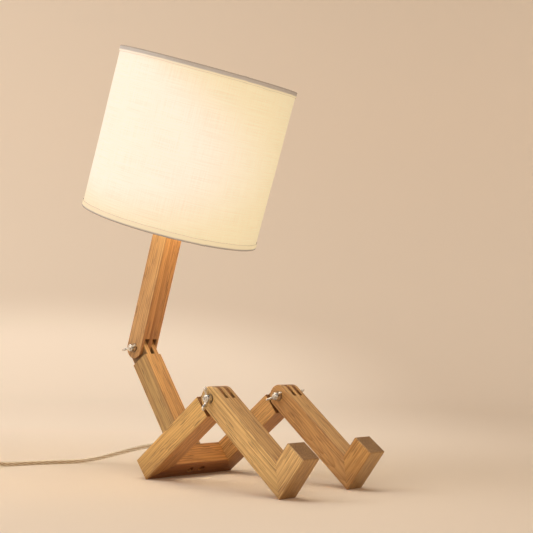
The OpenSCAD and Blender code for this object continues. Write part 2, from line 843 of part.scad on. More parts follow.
module lead_tube(pts) {
    sides = len(LEAD_EIGHT);
    last = len(pts) - 1;
    polyhedron(
        [for (i = [0:last]) each ring(pts, i)],
        concat([[for (k = [0:sides - 1]) k]],
               [for (i = [0:last - 1], k = [0:sides - 1])
                    [i * sides + k, (i + 1) * sides + k, (i + 1) * sides + (k + 1) % sides,
                     i * sides + (k + 1) % sides]],
               [[for (k = [sides - 1:-1:0]) last * sides + k]]));
}

module cord_run() { color("gainsboro") lead_tube(RUN); }
module cord_link() { color("gainsboro") lead_tube(LINK); }
module cord_tail() { color("gainsboro") lead_tube(TAIL); }

module cord_coil() {
    color("gainsboro") translate([coil_at.x, coil_at.y, tie_t])
        tube(coil_out, coil_in, 0, coil_h);
}

// Strap around the coil's bundle on its +X side.
module cord_tie() {
    inner = [coil_in - tie_gap, coil_out + tie_gap];
    color("dimgray") translate([coil_at.x, coil_at.y - tie_w / 2, 0]) difference() {
        translate([inner.x - tie_t, 0, 0])
            cube([inner.y - inner.x + 2 * tie_t, tie_w, coil_h + 2 * tie_t + tie_gap]);
        translate([inner.x, -over, tie_t])
            cube([inner.y - inner.x, tie_w + 2 * over, coil_h + tie_gap]);
    }
}

// Inline switch --------------------------------------------------------------------------------

module at_switch() {
    translate([switch_at.x, switch_at.y, 0]) children();
}

module centred_block(length, width, from, to) {
    translate([-length / 2, -width / 2, from]) cube([length, width, to - from]);
}

// Outer form of the switch, which its two halves share.
module switch_form() {
    translate([-switch_len / 2, -switch_w / 2, 0])
        intersection() {
            eased_block([switch_len, switch_w, switch_h]);
            linear_extrude(switch_h)
                polygon([[0, 6], [5, 0], [switch_len - 5, 0], [switch_len, 6],
                         [switch_len, switch_w - 6], [switch_len - 5, switch_w],
                         [5, switch_w], [0, switch_w - 6]]);
        }
}

module lead_holes() {
    centred_block(2 * switch_len, lead_t + 2 * lead_hole_gap,
                  switch_split - lead_w / 2 - lead_hole_gap,
                  switch_split + lead_w / 2 + lead_hole_gap);
}

module switch_screw_places() {
    for (side = [-1, 1])
        translate([side * switch_screw_at.x, side * switch_screw_at.y, 0]) children();
}

module switch_base() {
    inner = [switch_len - 2 * switch_wall, switch_w - 2 * switch_wall];
    color("white") at_switch() difference() {
        union() {
            difference() {
                intersection() {
                    switch_form();
                    centred_block(far, far, 0, switch_split);
                }
                intersection() {
                    centred_block(inner.x, inner.y, switch_floor, far);
                    centred_block(switch_len - 2 * switch_end, far, switch_floor, far);
                }
            }
            switch_screw_places() cylinder(r = 2.6, h = switch_split, $fn = 32);
        }
        lead_holes();
        switch_screw_places() {
            translate([0, 0, -over]) cylinder(r = switch_screw_r + 0.2, h = far, $fn = 32);
            translate([0, 0, -over]) cylinder(r = 2.3, h = 1.6 + over, $fn = 32);
        }
    }
}

module switch_cover() {
    inner = [switch_len - 2 * switch_end, switch_w - 2 * switch_wall];
    roof = switch_h - switch_floor;
    color("white") at_switch() difference() {
        union() {
            difference() {
                intersection() {
                    switch_form();
                    centred_block(far, far, switch_split, far);
                }
                centred_block(inner.x, inner.y, 0, roof);
            }
            centred_block(pocket.x + 2 * pocket_wall, pocket.y + 2 * pocket_wall,
                          rocker_pivot_z - 2.4, roof);
            switch_screw_places() translate([0, 0, switch_split])
                cylinder(r = 2.6, h = roof - switch_split, $fn = 32);
        }
        lead_holes();
        centred_block(pocket.x, pocket.y, 0, far);
        translate([0, 0, rocker_pivot_z]) rotate([90, 0, 0])
            cylinder(r = rocker_pin_r + rocker_pin_play, h = rocker_w + 2 * rocker_pin_out + 0.2,
                     center = true, $fn = 32);
        switch_screw_places() cylinder(r = switch_screw_r + 0.05, h = roof - 1, $fn = 32);
    }
}

module switch_terminals() {
    color("goldenrod") at_switch() for (side = [-1, 1])
        translate([side * (switch_len / 2 - switch_end - terminal_gap - terminal.x / 2), 0, 0])
            centred_block(terminal.x, terminal.y, switch_floor, switch_split + 1);
}

module switch_screws() {
    color("silver") at_switch() switch_screw_places() {
        translate([0, 0, 0.3]) cylinder(r = 2.1, h = 1.3, $fn = 32);
        cylinder(r = switch_screw_r, h = switch_h - switch_floor - 2, $fn = 32);
    }
}

// Rocker in its on position, pressed down at its -X end.
module switch_rocker() {
    crown = switch_h + 0.9 - rocker_pivot_z;
    color("whitesmoke") at_switch() translate([0, 0, rocker_pivot_z]) rotate([0, -rocker_tilt, 0])
        rotate([90, 0, 0]) {
            translate([0, 0, -rocker_w / 2]) linear_extrude(rocker_w)
                polygon([[-rocker_len / 2, -1.4], [rocker_len / 2, -1.4], [rocker_len / 2, crown],
                         [0, crown - rocker_len / 2 * tan(rocker_tilt)],
                         [-rocker_len / 2, crown]]);
            cylinder(r = rocker_pin_r, h = rocker_w + 2 * rocker_pin_out, center = true, $fn = 32);
        }
}

// Plug -----------------------------------------------------------------------------------------

module at_plug() {
    translate([plug_at.x, plug_at.y, plug_h / 2]) children();
}

module plug_body() {
    bevel = 5;
    color("white") at_plug() difference() {
        union() {
            intersection() {
                translate([0, 0, -plug_h / 2]) linear_extrude(plug_h)
                    polygon([[0, -6], [5, -8], [17, -plug_w / 2], [plug_len, -plug_w / 2],
                             [plug_len, plug_w / 2], [17, plug_w / 2], [5, 8], [0, 6]]);
                rotate([90, 0, 90]) linear_extrude(plug_len)
                    polygon([[-plug_w / 2, -1.5], [bevel - plug_w / 2, -plug_h / 2],
                             [plug_w / 2 - bevel, -plug_h / 2], [plug_w / 2, -1.5],
                             [plug_w / 2, 1.5], [plug_w / 2 - bevel, plug_h / 2],
                             [bevel - plug_w / 2, plug_h / 2], [-plug_w / 2, 1.5]]);
            }
            rotate([0, -90, 0]) cylinder(r1 = 4.8, r2 = plug_tail_r, h = plug_tail, $fn = 32);
        }
        for (side = [-1, 1]) translate([plug_len - pin_root, side * pin_spacing / 2, 0])
            rotate([0, 90, 0]) cylinder(r = pin_root_r + 0.05, h = far, $fn = 32);
    }
}

module plug_pins() {
    color("silver") at_plug() for (side = [-1, 1])
        translate([plug_len, side * pin_spacing / 2, 0]) rotate([0, 90, 0]) {
            translate([0, 0, -pin_root]) cylinder(r = pin_root_r, h = pin_root + 1, $fn = 32);
            cylinder(d = pin_d, h = pin_len - pin_chamfer, $fn = 32);
            translate([0, 0, pin_len - pin_chamfer])
                cylinder(d1 = pin_d, d2 = pin_d - 2 * pin_chamfer, h = pin_chamfer, $fn = 32);
        }
}

hip_bar();
near_thigh();
far_thigh();
hip_dowels();
torso_bar();
torso_screws();
torso_lead();
waist_lead();
strain_relief();
near_shin();
near_foot();
near_foot_dowel();
near_knee_bolt();
near_knee_washers();
near_knee_nut();
far_shin();
far_foot();
far_foot_dowel();
far_knee_bolt();
far_knee_washers();
far_knee_nut();
neck_bar();
waist_bolt();
waist_washers();
waist_nut();
neck_lead();
holder_cap();
holder_screws();
holder_body();
holder_contacts();
clamp_ring();
bulb_cap();
bulb_glass();
shade_spider();
shade_lower_ring();
shade_upper_ring();
shade_liner();
shade_fabric();
shade_lower_tape();
shade_upper_tape();
cord_run();
switch_base();
switch_cover();
switch_terminals();
switch_screws();
switch_rocker();
cord_link();
cord_coil();
cord_tie();
cord_tail();
plug_body();
plug_pins();
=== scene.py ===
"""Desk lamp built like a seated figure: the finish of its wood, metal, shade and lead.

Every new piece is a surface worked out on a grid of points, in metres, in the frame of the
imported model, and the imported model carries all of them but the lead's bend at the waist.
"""

import json
import math
from functools import cache, partialmethod

import bmesh
import bpy
import numpy as np
from bpy.props import FloatProperty, FloatVectorProperty, PointerProperty
from bpy.types import Operator, Panel, PropertyGroup
from mathutils import Matrix, Vector

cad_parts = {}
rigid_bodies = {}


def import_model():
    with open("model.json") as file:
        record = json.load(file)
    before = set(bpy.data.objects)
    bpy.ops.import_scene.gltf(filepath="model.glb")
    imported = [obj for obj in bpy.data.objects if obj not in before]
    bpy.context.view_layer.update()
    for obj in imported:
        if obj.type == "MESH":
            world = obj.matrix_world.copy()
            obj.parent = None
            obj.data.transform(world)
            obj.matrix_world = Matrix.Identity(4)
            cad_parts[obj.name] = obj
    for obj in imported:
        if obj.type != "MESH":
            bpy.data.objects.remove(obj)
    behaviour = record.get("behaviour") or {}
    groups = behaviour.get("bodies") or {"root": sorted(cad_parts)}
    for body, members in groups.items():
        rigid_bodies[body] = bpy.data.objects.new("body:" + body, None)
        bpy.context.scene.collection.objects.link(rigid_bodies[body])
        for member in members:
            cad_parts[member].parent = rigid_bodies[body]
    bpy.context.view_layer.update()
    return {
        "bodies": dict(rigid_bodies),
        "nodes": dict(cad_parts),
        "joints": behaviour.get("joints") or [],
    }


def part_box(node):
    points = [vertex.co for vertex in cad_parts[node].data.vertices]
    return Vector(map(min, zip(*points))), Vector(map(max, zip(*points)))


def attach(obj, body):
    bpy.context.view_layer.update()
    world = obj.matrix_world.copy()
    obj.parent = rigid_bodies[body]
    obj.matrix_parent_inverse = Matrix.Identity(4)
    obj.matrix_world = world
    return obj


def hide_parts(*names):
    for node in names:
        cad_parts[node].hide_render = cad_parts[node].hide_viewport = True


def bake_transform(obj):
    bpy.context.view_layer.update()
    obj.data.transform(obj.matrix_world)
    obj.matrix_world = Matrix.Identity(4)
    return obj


bl_info = {
    "name": "Seated Figure Desk Lamp",
    "version": (1, 0, 0),
    "blender": (4, 5, 0),
    "location": "View3D > Sidebar > Desk Lamp",
    "description": "Finishes a jointed wooden desk lamp on its packed frame",
    "category": "Add Mesh",
}

for leftover in list(bpy.data.objects):
    bpy.data.objects.remove(leftover)
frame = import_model()
NODES = frame["nodes"]
JOINT_AT = {joint["name"]: Vector(joint["pos_m"]) for joint in frame["joints"]}
MM = 0.001


def about(axis, degrees, size=4):
    """Turn about an axis."""
    return Matrix.Rotation(math.radians(degrees), size, axis)


def leaning(origin, degrees):
    """Frame at a point, turned about the X axis."""
    return Matrix.Translation(origin) @ about("X", degrees)


# Turns of the bars about the X axis, from lying along -Y or standing along +Z.
THIGH_TURN = -39.0
TORSO_TURN = -35.5
NECK_TURN = 16.5
SHADE_TURN = 2.0
SHIN_TURN = 38.24
FOOT_TURN = -53.76
WAIST = JOINT_AT["waist"]
NECK = leaning(WAIST, NECK_TURN)
TORSO = leaning(WAIST, TORSO_TURN)
NECK_LENGTH = 0.158
HOLDER = NECK @ leaning((0, 0, NECK_LENGTH), SHADE_TURN)
SHADE = HOLDER @ Matrix.Translation((0, 0, -NECK_LENGTH))
# The bulb's middle and the middle of the shade's glow, in the shade's frame.
BULB_AT = Vector((0, 0, 0.257))
GLOW_AT = Vector((-0.022, 0.0105, 0.257))


# --- Settings ---


def length(name, words, metres):
    """A length that a user may change, in metres."""
    return FloatProperty(name=name, description=words, default=metres, min=0.0, precision=5,
                         subtype="DISTANCE", unit="LENGTH")


def colour(name, words, rgb):
    """A colour that a user may change."""
    return FloatVectorProperty(name=name, description=words, default=rgb, size=3, min=0.0,
                               max=1.0, subtype="COLOR")


def number(name, words, value, low=0.0):
    """A plain number that a user may change."""
    return FloatProperty(name=name, description=words, default=value, min=low)


class ShadeSettings(PropertyGroup):
    """Sizes and colours of the drum shade."""

    radius: length("Radius", "Outer radius of the fabric", 0.1035)
    start: length("Start", "Waist axis to the lower rim", 0.149)
    height: length("Height", "Height over both rims", 0.1865)
    fabric: length("Fabric", "Thickness of the fabric", 0.0005)
    tape: length("Tape", "Thickness of the rim tape", 0.00045)
    tape_outside: length("Tape outside", "Depth of the rim tape outside", 0.007)
    tape_inside: length("Tape inside", "Depth of the rim tape inside", 0.005)
    overlap: length("Overlap", "Width of the fabric's seam", 0.012)
    linen: colour("Linen", "Colour of the fabric", (0.36, 0.29, 0.285))
    trim: colour("Trim", "Colour of the rim tape", (0.62, 0.60, 0.58))
    # Darker tone of the tape, for its darker fold and for the painted shadow along its edge.
    tape_dark: colour("Tape Dark", "Colour of the tape's handled fold", (0.34, 0.27, 0.20))
    unlit: colour("Unlit", "Lamplight through the tape over the wire", (0.12, 0.11, 0.10))
    glow: colour("Glow", "Lamplight that comes through the fabric", (1.0, 0.895, 0.695))
    far_glow: colour("Far glow", "The same far from the bulb", (1.0, 0.83, 0.47))
    glow_level: number("Glow level", "Brightness of the lit fabric", 0.815)


class WoodSettings(PropertyGroup):
    """Colours of the oiled oak."""

    light: colour("Light", "Early wood", (0.81, 0.525, 0.215))
    dark: colour("Dark", "Late wood", (0.36, 0.165, 0.048))
    # Colour of the open pores, and also of the painted shade in the slots and near the table.
    pore_and_shade: colour("Pore", "Open pores", (0.17, 0.075, 0.025))
    end: colour("End", "End grain", (0.215, 0.11, 0.05))
    ring: length("Ring", "Width of a year's ring", 0.0026)
    bar: length("Bar", "Width of a bar", 0.025)


class HardwareSettings(PropertyGroup):
    """Sizes and colours of the wing nuts and wing bolts."""

    stack: length("Stack", "Middle of a joint to a nut's face", 0.01355)
    hub_radius: length("Hub radius", "Radius of the hub at the washer", 0.005)
    hub_top_radius: length("Hub top radius", "Radius at the hub's other end", 0.0041)
    hub_height: length("Hub height", "Height of the hub", 0.0055)
    wing_reach: length("Wing reach", "Bolt's axis to a wing's tip", 0.0108)
    wing_rise: length("Wing rise", "Washer to a wing's tip", 0.0074)
    wing_tip: length("Wing tip", "Radius of a wing's tip in side view", 0.0023)
    wing_thickness: length("Wing thickness", "Thickness of a wing", 0.0026)
    bolt_radius: length("Bolt radius", "Outer radius of the thread", 0.00245)
    bolt_out: length("Bolt out", "How far a bolt stands out of its nut", 0.0014)
    pitch: length("Pitch", "Pitch of the thread", 0.0008)
    zinc: colour("Zinc", "Colour of the bright plating", (0.80, 0.79, 0.76))


class LeadSettings(PropertyGroup):
    """Sizes and colours of the flat twin lead."""

    width: length("Width", "Width of the flat lead", 0.0052)
    thickness: length("Thickness", "Thickness of the flat lead", 0.003)
    real_length: length("Length", "Length from the strain relief to the plug", 1.8)
    ring_step: length("Ring step", "Distance between the rings of its tube", 0.0026)
    coil_radius: length("Coil radius", "Middle radius of the stored coil", 0.0295)
    coil_spread: length("Coil spread", "Middle of the innermost turn to the outermost's", 0.01125)
    coil_turns: number("Coil turns", "Turns of the stored coil", 7.5, 1.0)
    sheath: colour("Sheath", "Clear sheath over the strands", (0.86, 0.77, 0.60))
    strands: colour("Strands", "Bright strands under the sheath", (0.40, 0.28, 0.16))


class StageSettings(PropertyGroup):
    """Floor, backdrop and lights."""

    floor: colour("Floor", "Colour of the floor and the backdrop", (0.83, 0.71, 0.575))
    reach: length("Reach", "Radius of the flat floor", 1.5)
    sweep: length("Sweep", "Radius of the backdrop's curve", 0.9)
    wall_lift: number("Wall lift", "How much paler the wall is seen", 0.38)
    pool: number("Pool", "Brightness of the oval of light on the wall", 0.22)
    pool_left: length("Pool left", "Middle of the oval to the left of the lamp", 0.53)
    pool_wide: length("Pool width", "Half of the oval's width", 0.86)
    pool_high: length("Pool height", "Half of the oval's height", 0.235)
    key: number("Key", "Power of the main light in watts", 13.5)
    fill: number("Fill", "Power of the fill light in watts", 8.0)
    top: number("Top", "Power of the light above in watts", 20.0)
    warm: number("Warm", "Power of the warm light in watts", 1.5)
    ambient: number("Ambient", "Strength of the world's light", 0.12)
    bulb: number("Bulb", "Power of the bulb's light in watts", 13.0)


# --- Surfaces ---


def stacked(*parts):
    """The parts as the last axis of one array, each spread to the shape they share."""
    return np.stack(np.broadcast_arrays(*parts), axis=-1)


def quads(rows, columns, wrap_rows, wrap_columns):
    """Corner numbers of the quads over a grid, row after row."""
    i = np.arange(rows if wrap_rows else rows - 1)[:, None]
    j = np.arange(columns if wrap_columns else columns - 1)
    down, right = (i + 1) % rows, (j + 1) % columns
    return stacked(i * columns + j, down * columns + j, down * columns + right,
                   i * columns + right).reshape(-1, 4)


def patch(points, wrap_rows=False, wrap_columns=False, uv=None):
    """One surface over a grid of points, shaped rows by columns by 3, with a place on it in uv."""
    rows, columns = points.shape[:2]
    if uv is None:
        uv = stacked(np.arange(rows)[:, None] / rows, np.arange(columns) / columns)
    return {"points": points, "uv": uv, "faces": quads(rows, columns, wrap_rows, wrap_columns)}


def moved(surfaces, matrix):
    """The surfaces taken through a matrix."""
    m = np.array(matrix)
    return [{**surface, "points": surface["points"] @ m[:3, :3].T + m[:3, 3]}
            for surface in surfaces]


def linked(name, data):
    """New object, in the scene."""
    made = bpy.data.objects.new(name, data)
    bpy.context.scene.collection.objects.link(made)
    return made


def build(name, surfaces, material, sharp=35.0, closed=True):
    """Object of one or more surfaces, with its doubles merged and its faces pointing outwards."""
    mesh = bpy.data.meshes.new(name)
    starts = np.cumsum([0] + [surface["uv"].size // 2 for surface in surfaces])
    faces = [surface["faces"] + start for surface, start in zip(surfaces, starts)]
    points = [surface["points"].reshape(-1, 3) for surface in surfaces]
    places = [surface["uv"].reshape(-1, 2)[surface["faces"].ravel()] for surface in surfaces]
    mesh.from_pydata(np.concatenate(points), [], np.concatenate(faces))
    mesh.uv_layers.new(name="Place").data.foreach_set("uv", np.concatenate(places).ravel())
    shape = bmesh.new()
    shape.from_mesh(mesh)
    bmesh.ops.remove_doubles(shape, verts=shape.verts, dist=1e-7)
    if closed:
        bmesh.ops.recalc_face_normals(shape, faces=shape.faces)
    shape.to_mesh(mesh)
    shape.free()
    mesh.shade_smooth()
    mesh.set_sharp_from_angle(angle=math.radians(sharp))
    mesh.materials.append(material)
    return linked(name, mesh)


def about_z(radius, angle, height):
    """Points at a radius, an angle about Z and a height."""
    return stacked(radius * np.cos(angle), radius * np.sin(angle), height)


def lathe(profile, steps=96):
    """Surface turned about Z: each profile point (radius, height) goes round a circle."""
    profile = np.asarray(profile, float)[None]
    angle = np.linspace(0, 2 * np.pi, steps, endpoint=False)[:, None]
    return patch(about_z(profile[..., 0], angle, profile[..., 1]), wrap_rows=True)


def rounded(corners, radius, steps=5):
    """Polyline with each inner corner cut by a quadratic curve that starts radius before it."""
    corners = [np.asarray(c, float) for c in corners]
    out = corners[:1]
    for before, corner, after in zip(corners, corners[1:-1], corners[2:]):
        sides = [before - corner, after - corner]
        room = min(radius, *(np.linalg.norm(side) / 2 for side in sides))
        a, b = [corner + unit(side) * room for side in sides]
        out += [(1 - t) ** 2 * a + 2 * t * (1 - t) * corner + t ** 2 * b
                for t in np.linspace(0, 1, steps)]
    return np.array(out + corners[-1:])


def gone_along(line):
    """How far each point of a line is from its start, along the line."""
    return np.concatenate([[0], np.cumsum(np.linalg.norm(np.diff(line, axis=0), axis=1))])


def curve_through(points, step):
    """Smooth line through the points, by cubics whose slopes are half the neighbours' chord,
    with a point every step of its length."""
    p = np.asarray(points, float)
    p = np.concatenate([2 * p[:1] - p[1:2], p, 2 * p[-1:] - p[-2:-1]])
    t = np.linspace(0, 1, 24, endpoint=False)[:, None]
    a, b, c, d = p[:-3, None], p[1:-2, None], p[2:-1, None], p[3:, None]
    fine = 0.5 * (2 * b + (c - a) * t + (2 * a - 5 * b + 4 * c - d) * t ** 2
                  + (3 * b - a - 3 * c + d) * t ** 3)
    fine = np.concatenate([fine.reshape(-1, 3), p[-2:-1]])
    along = gone_along(fine)
    wanted = np.linspace(0, along[-1], max(3, int(along[-1] / step) + 1))
    return stacked(*(np.interp(wanted, along, fine[:, k]) for k in range(3)))


def unit(vectors):
    """The vectors at length one."""
    return vectors / np.linalg.norm(vectors, axis=-1, keepdims=True)


def along_path(path, outline, up=(0.0, 0.0, 1.0)):
    """Tube: at each point of the path the outline's (across, up) goes square to its direction,
    and both ends draw in to a point."""
    ahead = unit(np.gradient(path, axis=0))
    across = unit(np.cross(ahead, np.asarray(up, float)))
    upward = np.cross(across, ahead)
    rings = (path[:, None] + across[:, None] * outline[None, :, 0:1]
             + upward[:, None] * outline[None, :, 1:2])
    first, last = [np.repeat(end[:, None], len(outline), axis=1) for end in (path[:1], path[-1:])]
    gone = gone_along(path)
    gone = np.concatenate([gone[:1], gone, gone[-1:]])
    return patch(np.concatenate([first, rings, last]), wrap_columns=True,
                 uv=stacked(gone[:, None], np.arange(len(outline)) / len(outline)))


# --- Materials ---


class Signal:
    """Output of a shader node, which can be reckoned with like a number."""

    def __init__(self, socket):
        self.socket = socket
        self.tree = socket.id_data

    def __getitem__(self, key):
        """Another output of the same node."""
        return Signal(self.socket.node.outputs[key])

    def maths(self, operation, *values):
        """Output of a Math node that starts from this value."""
        return add(self.tree, "Math", dict(enumerate((self, *values))), operation=operation)

    __add__ = partialmethod(maths, "ADD")
    __sub__ = partialmethod(maths, "SUBTRACT")
    __mul__ = partialmethod(maths, "MULTIPLY")
    __truediv__ = partialmethod(maths, "DIVIDE")
    __pow__ = partialmethod(maths, "POWER")
    __abs__ = partialmethod(maths, "ABSOLUTE")

    def vector(self, operation, *values):
        """Output of a Vector Math node that starts from this value."""
        output = "Value" if operation in {"LENGTH", "DOT_PRODUCT"} else "Vector"
        return add(self.tree, "VectorMath", dict(enumerate((self, *values))), output,
                   operation=operation)

    def split(self):
        """The three numbers of a vector."""
        numbers = add(self.tree, "SeparateXYZ", {0: self})
        return [numbers[k] for k in range(3)]

    def clamped(self):
        """This value kept between 0 and 1."""
        return add(self.tree, "Clamp", {0: self})

    def ramp(self, low, high, to_low=0.0, to_high=1.0):
        """This value taken smoothly from the range low..high to to_low..to_high."""
        return add(self.tree, "MapRange", {"Value": self, "From Min": low, "From Max": high,
                                           "To Min": to_low, "To Max": to_high},
                   interpolation_type="SMOOTHSTEP")

    def noise(self, stretch, detail=2.0):
        """Noise at this place, whose grains are 1/stretch long in each direction."""
        return add(self.tree, "TexNoise", {"Vector": self.vector("MULTIPLY", stretch),
                                           "Scale": 1.0, "Detail": detail, "Roughness": 0.55})


def feed(sockets, values):
    """Links or sets inputs by name or number; a colour gets full alpha."""
    for key, value in values.items():
        if isinstance(value, Signal):
            value.tree.links.new(value.socket, sockets[key])
        elif sockets[key].type == "RGBA":
            sockets[key].default_value = (*value, 1.0)
        else:
            sockets[key].default_value = value


def add(tree, kind, inputs=None, output=0, **settings):
    """Adds a node with its settings, feeds its inputs and gives one of its outputs."""
    node = tree.nodes.new("ShaderNode" + kind)
    for key, value in settings.items():
        setattr(node, key, value)
    feed(node.inputs, inputs or {})
    return Signal(node.outputs[output])


def mix(share, a, b, blend="MIX"):
    """Colour between a and b."""
    tree = next(value.tree for value in (share, a, b) if isinstance(value, Signal))
    return add(tree, "Mix", {0: share, 6: a, 7: b}, 2, data_type="RGBA", blend_type=blend)


def group(name, **takes):
    """New node group that takes named vectors, colours and numbers; gives its inputs."""
    tree = bpy.data.node_groups.new(name, "ShaderNodeTree")
    for kind, labels in takes.items():
        for label in labels:
            tree.interface.new_socket(label, in_out="INPUT", socket_type="NodeSocket" + kind)
    return Signal(tree.nodes.new("NodeGroupInput").outputs[0])


def give(**results):
    """Makes a group's outputs, a colour and numbers, and feeds them."""
    tree = results["Color"].tree
    for label in results:
        kind = "Color" if label == "Color" else "Float"
        tree.interface.new_socket(label, in_out="OUTPUT", socket_type="NodeSocket" + kind)
    feed(tree.nodes.new("NodeGroupOutput").inputs, results)
    return tree


@cache
def oak_group():
    """Oak: rings are circles about a pith line, with streaks, pores in the early wood, darker
    arrises and a brown end. Painted shade darkens the faces inside a bar's outline and the wood
    near the table, and each face takes a tint that is partly its tone and partly painted light
    and shade."""
    take = group("Oak Grain", Vector=["Position"],
                 Color=["Light", "Dark", "Pore", "End Tone", "Face Tint", "Side Tint"],
                 Float=["End", "Side", "Ring", "Pith Y", "Pith Z", "Tilt", "Wander", "Half",
                        "Rise"])
    place = take["Position"]
    x, y, z = place.split()
    sway = place.noise((5, 24, 24), 1.0) - 0.5
    side = y - take["Pith Y"] - x * take["Tilt"]
    over = z - take["Pith Z"]
    reach = (side * side + over * over).maths("SQRT") + sway * take["Wander"]
    year = (reach / take["Ring"]).maths("FRACT")
    late = year ** 2.0 * year.ramp(1.0, 0.9)
    patches = place.noise((5, 70, 70)).ramp(0.35, 0.65)
    streaks = place.noise((8, 700, 700), 3.0).ramp(0.38, 0.70)
    fibre = place.noise((30, 1300, 1300))
    dashes = place.noise((50, 900, 900), 1.0).ramp(0.56, 0.68)
    pores = dashes * year.ramp(0.8, 0.1, 0.3, 1.0)
    darkness = late * 0.52 + patches * 0.16 + streaks * 0.36 + fibre * 0.95 - 0.45
    darkness = darkness.clamped()
    tint = mix(darkness, take["Light"], take["Dark"])
    tint = mix(pores * 0.8, tint, take["Pore"])
    end = take["End"].ramp(0.55, 0.9)
    tint = mix(end, tint, mix(darkness * 0.35 + 0.55, tint, take["End Tone"]))
    out_y, out_z = [abs(k) / take["Half"] for k in (y, z)]
    # Darker along the arrises.
    darker_arrises = out_y.maths("MINIMUM", out_z).ramp(0.90, 0.985) * 0.55
    tint = mix(darker_arrises * streaks.ramp(0.0, 0.8, 0.4, 1.0), tint, take["Dark"])
    # Painted shade: faces inside the bar's outline, in slots, bores and round the tongues, go
    # towards the pore colour, darker the deeper they lie, except on end grain.
    painted_slot_shade = out_y.maths("MAXIMUM", out_z).ramp(0.985, 0.88) - end
    tint = mix((painted_slot_shade * 0.8).clamped(), tint, take["Pore"])
    # The face and side tints are partly the wood's tone and partly painted light and shade of each
    # face.
    oiled = mix(take["Side"].ramp(0.5, 0.8), take["Face Tint"], take["Side Tint"])
    tint = mix(1.0, tint, oiled, "MULTIPLY")
    # Painted shade: the wood goes towards the pore colour within 45 mm of the table, darkest at the
    # table.
    darkened = take["Rise"].ramp(0.045, 0.0, 0.0, 0.36)
    return give(Color=mix(darkened, tint, take["Pore"]),
                Roughness=fibre * 0.22 + end * 0.2 + 0.36, Height=fibre * 0.4 - pores)


@cache
def weave_group():
    """Plain weave: threads cross at right angles, and some are thicker than others."""
    take = group("Plain Weave", Vector=["Place"], Color=["Base", "Gap"],
                 Float=["Thread", "Slubs"])
    place = take["Place"]
    across, up = [(k / take["Thread"] * math.pi).maths("SINE") for k in place.split()[:2]]
    crossing = across * up
    slubs = place.noise((1300, 30, 1)) * 0.7 + place.noise((22, 1300, 1)) - 0.85
    slubs = slubs * take["Slubs"]
    shadow = (abs(crossing) * -0.25 + 0.3 - slubs).clamped()
    return give(Color=mix(shadow, take["Base"], take["Gap"]), Shadow=shadow,
                Height=slubs * 1.5 + crossing)


@cache
def handled_group():
    """Handled surface: cloudy dullness, fine specks and a slight change of tone."""
    take = group("Handled Surface", Vector=["Position"], Color=["Base", "Grime"],
                 Float=["Amount", "Dull", "Grain", "Cloud"])
    clouds, specks = [add(take.tree, "TexNoise", {"Vector": take["Position"],
                                                  "Scale": take[size], "Detail": detail})
                      for size, detail in (("Cloud", 4.0), ("Grain", 3.0))]
    stain_and_reflection = clouds.ramp(0.42, 0.75) * take["Amount"]
    return give(Color=mix(stain_and_reflection, take["Base"], take["Grime"]),
                Roughness=take["Dull"] + clouds * 0.16 - 0.08, Height=specks)


@cache
def glow_group():
    """Lamplight through the shade: it falls off and turns yellow with the bulb's distance, in
    which height counts for less."""
    take = group("Lamplight", Vector=["Position", "Bulb"], Color=["Light", "Far Light"],
                 Float=["Reach"])
    away = take["Position"].vector("SUBTRACT", take["Bulb"])
    near = take["Reach"] / away.vector("MULTIPLY", (1.0, 1.0, 0.78)).vector("LENGTH")
    tint = mix(near.ramp(1.0, 0.75), take["Light"], take["Far Light"])
    return give(Color=mix((near ** 0.5).maths("MINIMUM", 1.0), (0.0, 0.0, 0.0), tint))


def new_material(name, **values):
    """Material with a Principled shader; values are its own sockets, with _ for spaces."""
    material = bpy.data.materials.new(name)
    material.use_nodes = True
    tree = material.node_tree
    tree.nodes.clear()
    surface = add(tree, "BsdfPrincipled",
                  {key.replace("_", " "): value for key, value in values.items()})
    feed(tree.nodes.new("ShaderNodeOutputMaterial").inputs, {"Surface": surface})
    return material, tree, surface.socket.node


def lay_on(shader, effect, depth):
    """Links an effect's colour, its roughness if it has one, and its height to a shader."""
    given = effect.socket.node.outputs.keys()
    for label, socket in (("Color", "Base Color"), ("Roughness", "Roughness")):
        if label in given:
            feed(shader.inputs, {socket: effect[label]})
    relief = add(effect.tree, "Bump", {"Height": effect["Height"], "Distance": depth})
    feed(shader.inputs, {"Normal": relief})


def object_place(tree):
    """Object coordinates."""
    return add(tree, "TexCoord", output="Object")


def woven_place(tree):
    """Place along and across a piece, from its own UV map."""
    return add(tree, "UVMap", uv_map="Place")


def grain_axes(degrees, along):
    """Unit vectors along the grain, across it and square to both, for a bar turned about X."""
    turn = about("X", degrees, 3)
    grain = turn @ Vector({"X": (1, 0, 0), "Y": (0, 1, 0), "Z": (0, 0, 1)}[along])
    across = turn @ Vector((0, 1, 0)) if along == "X" else Vector((1, 0, 0))
    return grain, across, grain.cross(across)


def middle_along(node, axes):
    """Middle of a node's extent along each of three axes, as a point."""
    mesh = node.data
    points = np.empty(len(mesh.vertices) * 3)
    mesh.vertices.foreach_get("co", points)
    frame_axes = np.array(axes)
    spans = points.reshape(-1, 3) @ frame_axes.T
    return Vector((spans.min(axis=0) + spans.max(axis=0)) / 2 @ frame_axes)


